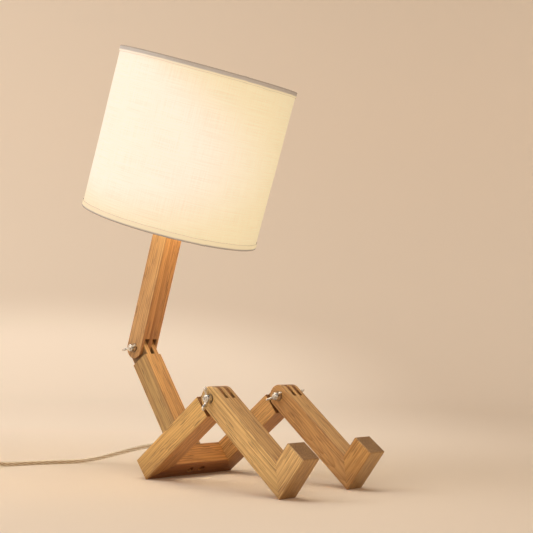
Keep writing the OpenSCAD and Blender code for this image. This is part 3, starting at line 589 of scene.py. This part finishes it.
def oak_material(name, node, degrees, along, pith, tilt=0.0, wander=0.004, face=(1, 1, 1),
                 side=(1, 1, 1)):
    """Oiled oak for one bar, with its grain along the bar."""
    wood = bpy.context.scene.desk_lamp_wood
    axes = grain_axes(degrees, along)
    material, tree, shader = new_material(name, IOR=1.5, Coat_Weight=0.12, Coat_Roughness=0.35)
    place = object_place(tree)
    local = add(tree, "Mapping", {"Vector": place, "Location": middle_along(node, axes),
                                  "Rotation": Matrix(axes).transposed().to_euler()},
                vector_type="TEXTURE")
    facing_end, facing_side = [abs(place["Normal"].vector("DOT_PRODUCT", tuple(axis)))
                               for axis in axes[:2]]
    oak = add(tree, "Group", {"Position": local, "End": facing_end, "Side": facing_side,
                              "Light": wood.light, "Dark": wood.dark, "Pore": wood.pore_and_shade,
                              "End Tone": wood.end, "Face Tint": face, "Side Tint": side,
                              "Ring": wood.ring, "Pith Y": pith[0], "Pith Z": pith[1],
                              "Tilt": tilt, "Wander": wander, "Half": wood.bar / 2,
                              "Rise": place.split()[2]}, node_tree=oak_group())
    lay_on(shader, oak, 0.00018)
    return material


def handled_material(name, base, grime_and_reflection=(0.35, 0.30, 0.24), amount=0.15, dull=0.35, grain=900.0,
                     depth=0.00004, cloud=70.0, **values):
    """Smooth material with the marks of handling; its dark clouds are grime, and on the zinc they
    are painted dark reflection as well.
    """
    material, tree, shader = new_material(name, **values)
    marks = add(tree, "Group", {"Position": object_place(tree), "Base": base, "Grime": grime_and_reflection,
                                "Amount": amount, "Dull": dull, "Grain": grain,
                                "Cloud": cloud}, node_tree=handled_group())
    lay_on(shader, marks, depth)
    return material


def lamplight(shader, level, tint, reach=0.096, dim=None):
    """Lets lamplight through a material of the shade, and less of it where dim is high."""
    shade = bpy.context.scene.desk_lamp_shade
    tree = shader.id_data
    lit = add(tree, "Group", {"Position": object_place(tree), "Bulb": SHADE @ GLOW_AT,
                              "Light": tint, "Far Light": shade.far_glow, "Reach": reach},
              node_tree=glow_group())
    if dim is not None:
        lit = mix(dim, lit, shade.unlit)
    feed(shader.inputs, {"Emission Color": lit, "Emission Strength": level * shade.glow_level})


def weave(tree, thread, base, gap, slubs):
    """Plain weave along a piece's own UV map."""
    return add(tree, "Group", {"Place": woven_place(tree), "Thread": thread, "Base": base,
                               "Gap": gap, "Slubs": slubs}, node_tree=weave_group())


def linen_material(shade):
    """Lit linen of the drum."""
    material, tree, shader = new_material("shade_linen", Roughness=0.85, Sheen_Weight=0.15,
                                          Specular_IOR_Level=0.25)
    linen = weave(tree, 0.0006, shade.linen, (0.30, 0.25, 0.19), 2.2)
    lay_on(shader, linen, 0.00008)
    lamplight(shader, 1.0, shade.glow, dim=linen["Shadow"] * 0.14)
    return material


def tape_material(name, shade, unlit_from):
    """Rim tape: the wire behind its fold keeps the lamplight off, and the tape is darker from
    close to the rim, over the fold and inside. A thin painted shadow runs along the free edge of
    its outer side."""
    material, tree, shader = new_material(name, Roughness=0.85, Specular_IOR_Level=0.25)
    depth = woven_place(tree).split()[1]
    unlit = depth.ramp(unlit_from - 0.0008, unlit_from + 0.0008)
    fold = depth.ramp(0.0052, 0.0066) * 0.85
    # Painted shadow: a thin darker line along the free edge of the tape's outer side, where the
    # lamplight is dimmed as well.
    edge = depth.ramp(0.0008, 0.0001) * 0.35
    tint = mix(fold.maths("MAXIMUM", edge), mix(unlit, shade.linen, shade.trim), shade.tape_dark)
    lay_on(shader, weave(tree, 0.0005, tint, shade.tape_dark, 0.5), 0.00008)
    lamplight(shader, 0.9, shade.glow, dim=unlit.maths("MAXIMUM", edge))
    return material


def finish(names, material):
    """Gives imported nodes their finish."""
    for name in names.split():
        mesh = NODES[name].data
        mesh.materials.clear()
        mesh.materials.append(material)
        mesh.polygons.foreach_set("material_index", np.zeros(len(mesh.polygons), np.int32))


METAL = {"Metallic": 1.0}


def finish_plain(rows):
    """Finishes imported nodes: each row has nodes, material, colour, dullness and shader values."""
    for names, label, base, dull, values in rows:
        finish(names, handled_material(label, base, dull=dull, **values))


def piece(made, body, *replaced, slot):
    """The piece rides on its body and stands for its nodes; its slot is not used."""
    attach(made, body)
    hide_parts(*replaced)
    return made


# --- Camera and mains lead ---

CAMERA_AT = (-0.82434, -0.80427, 0.14761)
# Turns in degrees, one after the other: azimuth, tilt up from looking down, and roll.
CAMERA_TURNS = (("Z", -48.339), ("X", 94.2854), ("Z", 1.2641))
CAMERA_LENS = 70.0

# The lead's way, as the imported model's own lead lies: out of the strain relief, over the table and
# through the switch to the coil, and from the coil to the plug.
RELIEF_END = np.array([0.0, 0.083717, 0.034177])
RELIEF_DIR = np.array([0.0, 0.81412, -0.5807])
RUN = np.array([
    [0, 94, 29.3], [0, 103, 27], [-1, 114, 24.8], [-1, 127, 21.8], [-2, 140, 18.5],
    [-4, 153, 14.9], [-7, 166, 11.2], [-12, 178, 7.6], [-19, 188, 4.8], [-28, 195, 3.2],
    [-39, 200, 2.7], [-52, 205, 2.7], [-66, 210, 2.7], [-80, 215, 2.7], [-94, 219, 2.7],
    [-108, 222, 2.7], [-120, 223, 3.4], [-130, 223, 5.8], [-138, 223, 7.6], [-143, 223, 8],
    [-147, 223, 8], [-159, 223, 8], [-170, 223, 8], [-181, 223, 8], [-193, 223, 8],
    [-198, 223, 8], [-206, 223, 7], [-214, 223, 5], [-221, 222.9, 3.6]]) * MM
TAIL = np.array([
    [-220, 292.9, 8.6], [-208, 291, 8], [-198, 288.2, 7.3], [-190, 286.3, 6.9],
    [-184, 286, 6.85], [-180, 286, 6.85]]) * MM
COIL_AT = np.array([-230, 258, 3.3]) * MM
COIL_LIFT = 5.4 * MM
COIL_CLIMB_TURNS = 0.7
ON_THE_LEAD = ("switch_base switch_cover switch_terminals switch_screws switch_rocker plug_body "
               "plug_pins strain_relief")


def coil_way(lead):
    """Coil wound clockwise from above: a spiral in on the table, a climb, and a spiral out on
    top. Each turn has 24 points."""
    turns = lead.coil_turns
    t = np.linspace(0, turns, int(24 * turns) + 1)[:, None]
    inward = np.abs(t / turns * 2 - 1)
    radius = lead.coil_radius + lead.coil_spread * (inward - 0.5)
    climb = np.clip((t - turns / 2) / COIL_CLIMB_TURNS + 0.5, 0, 1)
    climb = climb ** 2 * (3 - 2 * climb)
    angle = -np.pi / 2 - 2 * np.pi * t
    return COIL_AT + about_z(radius, angle, COIL_LIFT * climb)[:, 0]


def lead_way(lead):
    """The whole lead from the strain relief to the plug, as one smooth line."""
    start = [RELIEF_END + reach * MM * RELIEF_DIR for reach in (-12, 0, 4)]
    return curve_through(np.concatenate([start, RUN, coil_way(lead), TAIL]), lead.ring_step)


def twin_outline(width, thickness, steps=11):
    """Outline of a flat twin lead: two round lobes that meet in a shallow groove."""
    lobe = thickness / 2
    angle = np.radians(np.linspace(-35, 215, steps))
    side = stacked(lobe * np.cos(angle), (width / 2 - lobe) + lobe * np.sin(angle))
    return np.concatenate([side, -side])


class DESKLAMP_OT_camera(Operator):
    """Puts the camera before the lamp, a little above the table"""

    bl_idname = "desk_lamp.camera"
    bl_label = "Camera"

    def execute(self, context):
        data = bpy.data.cameras.new("camera")
        data.lens = CAMERA_LENS
        made = linked("camera", data)
        place = Matrix.Translation(CAMERA_AT)
        for axis, degrees in CAMERA_TURNS:
            place = place @ about(axis, degrees)
        made.matrix_world = place
        context.scene.camera = made
        return {"FINISHED"}


def lead_material(lead):
    """Clear sheath over two cores of twisted strands, which show along the lead's flanks."""
    material, tree, shader = new_material("clear_lead", Roughness=0.15, IOR=1.5, Coat_Weight=0.6,
                                          Coat_Roughness=0.12)
    along, around = woven_place(tree).split()[:2]
    around = around * (2 * math.pi)
    core = abs(around.maths("COSINE")).ramp(0.45, 0.9)
    twist = along * (2 * math.pi / 0.009) + around * 6.0
    strand = twist.maths("SINE").ramp(-0.6, 0.8, 0.45, 1.0)
    feed(shader.inputs, {"Base Color": mix(core * strand, lead.sheath, lead.strands)})
    return material


class DESKLAMP_OT_mains_lead(Operator):
    """Lays the mains lead from the torso over the table to its switch, coil and plug"""

    bl_idname = "desk_lamp.mains_lead"
    bl_label = "Mains Lead"

    def execute(self, context):
        lead = context.scene.desk_lamp_lead
        outline = twin_outline(lead.width, lead.thickness)
        way = lead_way(lead)
        clear = lead_material(lead)
        cord = build("mains_lead", [along_path(way, outline)], clear, sharp=60)
        piece(cord, "root", "cord_run", "cord_link", "cord_coil", "cord_tail", slot="clear_pvc")
        tie = self.tie()
        [NODES[name] for name in ON_THE_LEAD.split()] + [tie]
        self.bend_at_waist(outline, clear)
        for name in ("torso_lead", "neck_lead", "strain_relief"):
            finish_plain([(name, "clear_" + name, lead.sheath, 0.3, {"Coat_Weight": 0.5})])
        return {"FINISHED"}

    def tie(self):
        """Strap round the coil's bundle: a rounded rectangle carried along Y."""
        low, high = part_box("cord_tie")
        middle = (low + high) / 2
        half = (high - low) / 2
        strap, corner, snug = 0.0006, 0.0022, 0.97
        corners = [(-1, 0), (-1, -1), (1, -1), (1, 1), (-1, 1), (-1, 0)]
        loop = rounded([(half.x * snug * x, 0, half.z * snug * z) for x, z in corners], corner)
        path = np.array(middle) + loop[:-1]
        outward = unit(path - np.array(middle))
        widths = np.linspace(-half.y, half.y, 5)
        sides = [path[:, None] + offset * outward[:, None]
                 + widths[:, None] * np.array([0, 1, 0]) for offset in (0.0, -strap)]
        rings = np.concatenate([sides[0], sides[1][:, ::-1]], axis=1)
        black = handled_material("tie_plastic", (0.035, 0.035, 0.037), dull=0.55)
        made = build("coil_tie", [patch(rings, wrap_rows=True, wrap_columns=True)], black)
        return piece(made, "root", "cord_tie", slot="tie_plastic")

    def bend_at_waist(self, outline, material):
        """Lead behind the waist's bolt: straight, a bend about the axis and straight again."""
        back, below, above, crossing = 0.007, 0.0165, 0.0143, 0.006
        down = [TORSO @ Vector((0, back, z)) for z in np.linspace(-below, 0, 7)]
        arc = [leaning(WAIST, degrees) @ Vector((0, back, 0))
               for degrees in np.linspace(TORSO_TURN, NECK_TURN, 9)[1:-1]]
        up = [NECK @ Vector((0, back, z)) for z in np.linspace(0, above, 7)]
        tube = along_path(np.array(down + arc + up), outline[:, ::-1], up=(1, 0, 0))
        made = build("waist_lead_bend", [tube], material, sharp=60)
        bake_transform(made)
        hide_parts("waist_lead")


# --- Wood ---

# Node, turn about X, grain's axis, pith in metres across the bar, tilt, wander, and the tints
# of the faces up or down the figure and of the faces to its sides; each tint is partly the
# wood's own tone and partly painted light and shade, darker on a face turned from the light.
BARS = [
    ("hip_bar", THIGH_TURN, "X", (0.030, 0.055), 0.01, 0.009,
     (0.54, 0.31, 0.17), (1.00, 0.76, 0.54)),
    ("near_thigh", THIGH_TURN, "Y", (0.020, 0.060), 0.00, 0.003,
     (0.85, 0.65, 0.45), (1.09, 1.10, 0.97)),
    ("far_thigh", THIGH_TURN, "Y", (-0.050, 0.030), 0.01, 0.004,
     (0.69, 0.49, 0.30), (0.97, 0.90, 0.81)),
    ("torso_bar", TORSO_TURN, "Z", (0.045, 0.018), 0.00, 0.003,
     (1.00, 0.91, 0.86), (0.76, 0.79, 0.79)),
    ("neck_bar", NECK_TURN, "Z", (0.012, 0.050), 0.00, 0.003,
     (0.78, 0.61, 0.54), (0.84, 0.79, 0.86)),
    ("near_shin", SHIN_TURN, "Y", (0.035, 0.030), 0.015, 0.004,
     (0.88, 0.85, 0.83), (1.08, 1.15, 1.18)),
    ("near_foot", FOOT_TURN, "Y", (0.030, -0.035), 0.00, 0.004,
     (0.76, 0.70, 0.61), (1.11, 1.17, 1.22)),
    ("far_shin", SHIN_TURN, "Y", (-0.016, 0.004), 0.14, 0.004,
     (0.94, 0.90, 0.87), (0.88, 0.80, 0.76)),
    ("far_foot", FOOT_TURN, "Y", (0.040, -0.020), 0.01, 0.004,
     (0.78, 0.76, 0.72), (0.93, 0.83, 0.69)),
]
DOWELS = ["hip_dowels", "near_foot_dowel", "far_foot_dowel"]


class DESKLAMP_OT_wood(Operator):
    """Gives each bar oiled oak with its grain along the bar"""

    bl_idname = "desk_lamp.wood"
    bl_label = "Wood"

    def execute(self, context):
        for name, *grain in BARS:
            finish(name, oak_material("oak_" + name, NODES[name], *grain))
        for name in DOWELS:
            finish(name, oak_material("beech_" + name, NODES[name], 0, "X", (0.02, 0.03)))
        return {"FINISHED"}


# --- Wing hardware ---

# Joint, nut's angle and bolt's angle in side view from forward towards up, and the bolt's body.
WINGED_JOINTS = [("near_knee", 84.0, -38.0, "near_shin"), ("far_knee", 24.0, 37.0, "far_shin"),
                 ("waist", 15.0, 73.5, "neck")]


def facing(at, angle, stack, mirrored):
    """Frame of a wing nut on the -X side of a joint, or of a wing bolt's head on the +X side."""
    flip = Matrix.Scale(-1, 4, (1, 0, 0)) if mirrored else Matrix.Identity(4)
    turn = about("X", -angle) @ about("Y", -90) @ about("Z", 90)
    return Matrix.Translation(at) @ flip @ Matrix.Translation((-stack, 0, 0)) @ turn


def wing(sizes, side):
    """Wing: an oval ring carried out from the hub along a rising bow, closed in a round tip."""
    reach, rise, tip = sizes.wing_reach, sizes.wing_rise, sizes.wing_tip
    t = np.linspace(0, 1, 22)[:, None]
    root, over = (0.0028, 0.0026), 0.35 * tip
    a, b, c = np.array([root, (0.62 * reach, 0.36 * rise), (reach + over, rise + over)])
    middle = (1 - t) ** 2 * a + 2 * t * (1 - t) * b + t ** 2 * c
    ahead = unit(np.gradient(middle, axis=0))
    square = stacked(-ahead[:, 1], ahead[:, 0])
    close = np.sqrt(np.clip(1 - np.clip((t[:, 0] - 0.82) / 0.18, 0, 1) ** 2, 0, 1))
    start = 0.0021
    tall = (start + (tip - start) * t[:, 0] + 0.00035 * np.sin(np.pi * t[:, 0])) * close
    thick = (sizes.wing_thickness / 2 * (1.25 - 0.35 * t[:, 0])) * close
    angle = np.linspace(0, 2 * np.pi, 20, endpoint=False)
    cosine, sine = np.cos(angle), np.sign(np.sin(angle)) * np.abs(np.sin(angle)) ** 0.8
    x = middle[:, None, 0] + square[:, None, 0] * tall[:, None] * cosine
    z = middle[:, None, 1] + square[:, None, 1] * tall[:, None] * cosine
    return patch(stacked(side * x, thick[:, None] * sine, z), wrap_columns=True)


def winged_head(sizes, bored):
    """Hub turned about Z with a wing on each side; a bored hub is open for its bolt."""
    wide, top, high = sizes.hub_radius, sizes.hub_top_radius, sizes.hub_height
    hole = sizes.bolt_radius + 0.00005 if bored else 0.0
    outer = rounded([(hole, 0), (wide, 0), (wide * 0.97, high * 0.25), (top, high * 0.92),
                     (top * 0.82, high), (hole, high)], 0.0006)
    if bored:
        outer = np.concatenate([outer, outer[:1]])
    return [lathe(outer, 48), wing(sizes, 1), wing(sizes, -1)]


def threaded(radius, pitch, low, high, turns_around=36, rows_per_pitch=8, depth=0.00025):
    """Rod along Z whose radius waves with the height less the angle, so the wave is a helix."""
    rows = max(4, int((high - low) / pitch * rows_per_pitch))
    z = np.linspace(low, high, rows)[:, None]
    angle = np.linspace(0, 2 * np.pi, turns_around, endpoint=False)[None, :]
    wave = 0.5 - 0.5 * np.cos(2 * np.pi * z / pitch - angle)
    fade = np.clip((high - z) / pitch * 1.2, 0, 1)
    r = (radius - depth * wave) * (0.86 + 0.14 * fade)
    first, last = [about_z(0.0, angle, level) for level in (low, high)]
    return patch(np.concatenate([first, about_z(r, angle, z), last]), wrap_columns=True)


class DESKLAMP_OT_wing_hardware(Operator):
    """Makes the cast wing nuts and the wing bolts with their threads"""

    bl_idname = "desk_lamp.wing_hardware"
    bl_label = "Wing Hardware"

    def execute(self, context):
        sizes = context.scene.desk_lamp_hardware
        # The zinc's large dark clouds are partly grime and partly painted dark reflection.
        zinc = handled_material("bright_zinc", sizes.zinc, grime_and_reflection=(0.10, 0.09, 0.08),
                                amount=0.85, dull=0.14, grain=420.0, depth=0.0002, cloud=330.0,
                                Metallic=1.0)
        # The washers' dark brown stands in for the shade round each hub.
        washer = handled_material("dull_washer", (0.30, 0.25, 0.19), dull=0.5, grain=420.0,
                                  Metallic=1.0)
        reach = sizes.stack + sizes.hub_height + sizes.bolt_out
        shank = threaded(sizes.bolt_radius, sizes.pitch, -sizes.stack, reach)
        for joint, nut_angle, bolt_angle, bolt_body in WINGED_JOINTS:
            at = JOINT_AT[joint]
            parts = moved(winged_head(sizes, True), facing(at, nut_angle, sizes.stack, False))
            nut = build(f"{joint}_wing_nut", parts, zinc)
            piece(nut, f"{joint}_nut", f"{joint}_nut", slot="bright_zinc")
            parts = moved(winged_head(sizes, False), facing(at, bolt_angle, sizes.stack, True))
            parts += moved([shank], Matrix.Translation(at) @ about("Y", -90))
            bolt = build(f"{joint}_wing_bolt", parts, zinc)
            piece(bolt, bolt_body, f"{joint}_bolt", slot="bright_zinc")
            finish(f"{joint}_washers", washer)
        finish_plain([("torso_screws holder_screws switch_screws", "screw_steel",
                       (0.30, 0.29, 0.28), 0.4, METAL)])
        return {"FINISHED"}


# --- Shade, holder, bulb, switch and plug ---

# Where the fabric's seam and the tapes' laps are, round the drum.
SEAM_ANGLE = math.radians(100)
TAPE_LAP_ANGLE = math.radians(-112)


def drum_cloth(shade):
    """Fabric drum: the radius is even but for a slow ripple, and rises over its own start where
    the seam overlaps. Rows go round and columns go up."""
    edge = shade.tape + 0.00005
    low, high = shade.start + edge, shade.start + shade.height - edge
    lap = shade.overlap / shade.radius
    angle = SEAM_ANGLE + np.linspace(0, 2 * np.pi + lap, 260)[:, None]
    z = np.linspace(low, high, 46)[None, :]
    past = np.clip((angle - SEAM_ANGLE - 2 * np.pi + 0.02) / 0.02, 0, 1)
    ripple = 0.00012 * np.sin(5 * angle + 9 * z / shade.height) * np.sin(
        np.pi * (z - low) / (high - low))
    radius = shade.radius - 0.0004 + ripple + past * (shade.fabric + 0.0001)
    return patch(about_z(radius, angle, z), uv=stacked(angle * shade.radius, z))


def rim_tape(shade, upper):
    """Tape folded over a rim: a U-shaped strip turned about the neck, with a soft fold, a
    slightly uneven edge and a short lap."""
    out = shade.radius + 0.00005 + shade.tape
    inside = shade.radius - 2 * shade.fabric - 0.00015 - shade.tape
    deep, shallow, t = shade.tape_outside, shade.tape_inside, shade.tape
    ring = rounded([(out, deep), (out, 0), (inside, 0), (inside, shallow)], 0.0009, 7)
    back = rounded([(inside + t, shallow), (inside + t, t), (out - t, t), (out - t, deep)],
                   0.0005, 7)
    profile = np.concatenate([ring, back])
    angle = TAPE_LAP_ANGLE + np.linspace(0, 2 * np.pi + 0.05, 250)[:, None]
    lap = np.clip((angle - TAPE_LAP_ANGLE - 2 * np.pi + 0.012) / 0.012, 0, 1)
    ragged = 1 + 0.02 * np.sin(7 * angle) + 0.015 * np.sin(23 * angle + 1)
    side = np.where(profile[:, 0] > (out + inside) / 2, 1, -1)[None, :]
    radius = profile[None, :, 0] + side * (lap * shade.tape * 0.9)
    z = profile[None, :, 1] * ragged - lap * 0.0002
    base = shade.start + shade.height if upper else shade.start
    height = base - z if upper else base + z
    return patch(about_z(radius, angle, height), wrap_columns=True,
                 uv=stacked(angle * shade.radius, gone_along(profile)))


class DESKLAMP_OT_shade(Operator):
    """Makes the linen drum with its seam and its taped rims, and finishes its frame"""

    bl_idname = "desk_lamp.shade"
    bl_label = "Shade"

    def execute(self, context):
        shade = context.scene.desk_lamp_shade
        cloth = build("shade_drum", moved([drum_cloth(shade)], SHADE), linen_material(shade),
                      closed=False)
        solid = cloth.modifiers.new("Thickness", "SOLIDIFY")
        solid.thickness = shade.fabric
        solid.offset = -1.0
        piece(cloth, "neck", "shade_fabric", slot="shade_linen")
        for name, upper, unlit_from in (("lower_tape", False, 0.0050),
                                        ("upper_tape", True, 0.0024)):
            tape = build(f"shade_{name}_fold", moved([rim_tape(shade, upper)], SHADE),
                         tape_material(f"rim_{name}", shade, unlit_from))
            piece(tape, "neck", f"shade_{name}", slot="rim_tape")
        liner = handled_material("shade_liner", (0.86, 0.82, 0.74), dull=0.5)
        lamplight(liner.node_tree.nodes["Principled BSDF"], 1.6, shade.glow)
        finish("shade_liner", liner)
        finish_plain([("shade_spider shade_lower_ring shade_upper_ring", "shade_wire",
                       (0.80, 0.79, 0.76), 0.35, {"Coat_Weight": 0.3})])
        return {"FINISHED"}


class DESKLAMP_OT_holder_and_bulb(Operator):
    """Finishes the lamp holder and the bulb"""

    bl_idname = "desk_lamp.holder_and_bulb"
    bl_label = "Holder and Bulb"

    def execute(self, context):
        finish_plain([
            ("holder_cap holder_body clamp_ring", "holder_plastic", (0.80, 0.79, 0.76), 0.28,
             {"Coat_Weight": 0.3}),
            ("holder_contacts switch_terminals", "contact_brass", (0.75, 0.55, 0.24), 0.3, METAL),
            ("bulb_cap", "bulb_cap_metal", (0.72, 0.71, 0.69), 0.3, METAL)])
        glass, _, shader = new_material("bulb_glass", Roughness=0.45, IOR=1.5,
                                        Base_Color=(0.92, 0.88, 0.80))
        lamplight(shader, 6.0, (1.0, 0.86, 0.62), reach=0.05)
        finish("bulb_glass", glass)
        return {"FINISHED"}


class DESKLAMP_OT_switch_and_plug(Operator):
    """Finishes the inline switch and the plug"""

    bl_idname = "desk_lamp.switch_and_plug"
    bl_label = "Switch and Plug"

    def execute(self, context):
        finish_plain([
            ("switch_base switch_cover switch_rocker", "switch_plastic", (0.80, 0.79, 0.75), 0.32,
             {"Coat_Weight": 0.15}),
            ("plug_body", "plug_plastic", (0.80, 0.79, 0.75), 0.5, {}),
            ("plug_pins", "pin_metal", (0.78, 0.77, 0.73), 0.18, METAL)])
        return {"FINISHED"}


# --- Stage ---


WALL_TOP = 3.0


def bowl(stage):
    """Round floor that curves up into a wall all round: a straight, a quarter circle and a
    straight, turned about Z."""
    turn = np.linspace(0, np.pi / 2, 25)
    reach = np.concatenate([np.linspace(0, stage.reach, 12)[:-1],
                            stage.reach + stage.sweep * np.sin(turn),
                            [stage.reach + stage.sweep]])
    rise = np.concatenate([np.zeros(11), stage.sweep * (1 - np.cos(turn)), [WALL_TOP]])
    return lathe(stacked(reach, rise), 180)


def paper_material(stage):
    """Warm paper; what a lens sees of the wall is paler, with painted light that fades from left to
    right and a painted pool of light in a low oval.
    """
    paper, tree, shader = new_material("backdrop_paper", Roughness=0.9, Specular_IOR_Level=0.2,
                                       Base_Color=stage.floor, Emission_Color=stage.floor)
    place = object_place(tree)
    gone = place.vector("MULTIPLY", (1.0, 1.0, 0.0)).vector("LENGTH")
    far = gone.ramp(0.3, stage.reach + stage.sweep)
    across = place.vector("DOT_PRODUCT", (0.6648, -0.747, 0.0))
    ahead = place.vector("DOT_PRODUCT", (0.747, 0.6648, 0.0))
    left = (across + stage.pool_left) / stage.pool_wide
    up = place.split()[2] / stage.pool_high
    oval = (left * left + up * up).maths("SQRT")
    pool = oval.ramp(1.3, 0.6) * ahead.ramp(0.1, 0.7)
    # Painted light: the wall is seen paler towards the left and darker towards the right.
    painted_falloff = across.ramp(-1.6, 0.9, 0.86, 0.42)
    level = pool * stage.pool + far * (painted_falloff * stage.wall_lift)
    path = add(tree, "LightPath")
    seen = path["Is Camera Ray"]
    for ray in ("Is Glossy Ray", "Is Transmission Ray"):
        seen = seen.maths("MAXIMUM", path[ray])
    feed(shader.inputs, {"Emission Strength": level * seen})
    return paper


LIT_POINT = Vector((0, 0, 0.18))
# Light, which is also the setting that holds its watts, and its place, width and colour.
LAMPS = [
    ("key", (-1.1, 0.9, 1.5), 1.4, (1.0, 0.98, 0.97)),
    ("fill", (-1.6, -1.3, 0.9), 1.4, (1.0, 0.98, 0.97)),
    ("top", (0.0, 0.0, 2.3), 1.6, (1.0, 0.96, 0.91)),
    ("warm", (1.1, -1.5, 0.6), 1.0, (1.0, 0.62, 0.30)),
]


def area_light(name, at, size, watts, tint):
    """Square soft light that faces the middle of the lamp."""
    data = bpy.data.lights.new(name, "AREA")
    data.size = size
    data.energy = watts
    data.color = tint
    made = linked(name, data)
    turned = (LIT_POINT - Vector(at)).to_track_quat("-Z", "Y").to_matrix().to_4x4()
    made.matrix_world = Matrix.Translation(at) @ turned
    made.visible_camera = False


class DESKLAMP_OT_stage(Operator):
    """Makes the pale floor and backdrop and the soft light"""

    bl_idname = "desk_lamp.stage"
    bl_label = "Stage"

    def execute(self, context):
        stage = context.scene.desk_lamp_stage
        floor = build("floor_and_backdrop", [bowl(stage)], paper_material(stage), closed=False)
        for name, at, size, tint in LAMPS:
            area_light(name, at, size, getattr(stage, name), tint)
        bulb = bpy.data.lights.new("bulb_light", "SPOT")
        bulb.spot_size = math.radians(104)
        bulb.spot_blend = 0.1
        bulb.energy = stage.bulb
        bulb.color = (1.0, 0.72, 0.42)
        bulb.shadow_soft_size = 0.031
        made = linked("bulb_light", bulb)
        made.matrix_world = SHADE @ Matrix.Translation(BULB_AT)
        made.parent = frame["bodies"]["neck"]
        world = bpy.data.worlds.new("studio")
        world.use_nodes = True
        feed(world.node_tree.nodes["Background"].inputs,
             {"Color": (1.0, 0.90, 0.78), "Strength": stage.ambient})
        context.scene.world = world
        context.scene.view_settings.view_transform = "Standard"
        return {"FINISHED"}


# --- Panel and registration ---


class DESKLAMP_PT_panel(Panel):
    """Lists the steps that dress the lamp"""

    bl_idname = "DESKLAMP_PT_panel"
    bl_label = "Desk Lamp"
    bl_space_type = "VIEW_3D"
    bl_region_type = "UI"
    bl_category = "Desk Lamp"

    def draw(self, context):
        for step in STEPS:
            self.layout.operator(step.bl_idname)
        for label in SETTINGS:
            box = self.layout.box()
            values = getattr(context.scene, label)
            for name in values.__annotations__:
                box.prop(values, name)


STEPS = [DESKLAMP_OT_camera, DESKLAMP_OT_mains_lead, DESKLAMP_OT_wood,
         DESKLAMP_OT_wing_hardware, DESKLAMP_OT_shade, DESKLAMP_OT_holder_and_bulb,
         DESKLAMP_OT_switch_and_plug, DESKLAMP_OT_stage]
SETTINGS = {"desk_lamp_shade": ShadeSettings, "desk_lamp_wood": WoodSettings,
            "desk_lamp_hardware": HardwareSettings, "desk_lamp_lead": LeadSettings,
            "desk_lamp_stage": StageSettings}


def register():
    """Registers the settings, the steps and the panel."""
    for label, kind in SETTINGS.items():
        bpy.utils.register_class(kind)
        setattr(bpy.types.Scene, label, PointerProperty(type=kind))
    for kind in STEPS + [DESKLAMP_PT_panel]:
        bpy.utils.register_class(kind)


def unregister():
    """Takes back what register made."""
    for kind in [DESKLAMP_PT_panel] + STEPS[::-1]:
        bpy.utils.unregister_class(kind)
    for label, kind in SETTINGS.items():
        delattr(bpy.types.Scene, label)
        bpy.utils.unregister_class(kind)


def main():
    """Dresses the lamp."""
    register()
    for step in STEPS:
        getattr(bpy.ops.desk_lamp, step.bl_idname.split(".")[1])()


if __name__ == "__main__":
    main()
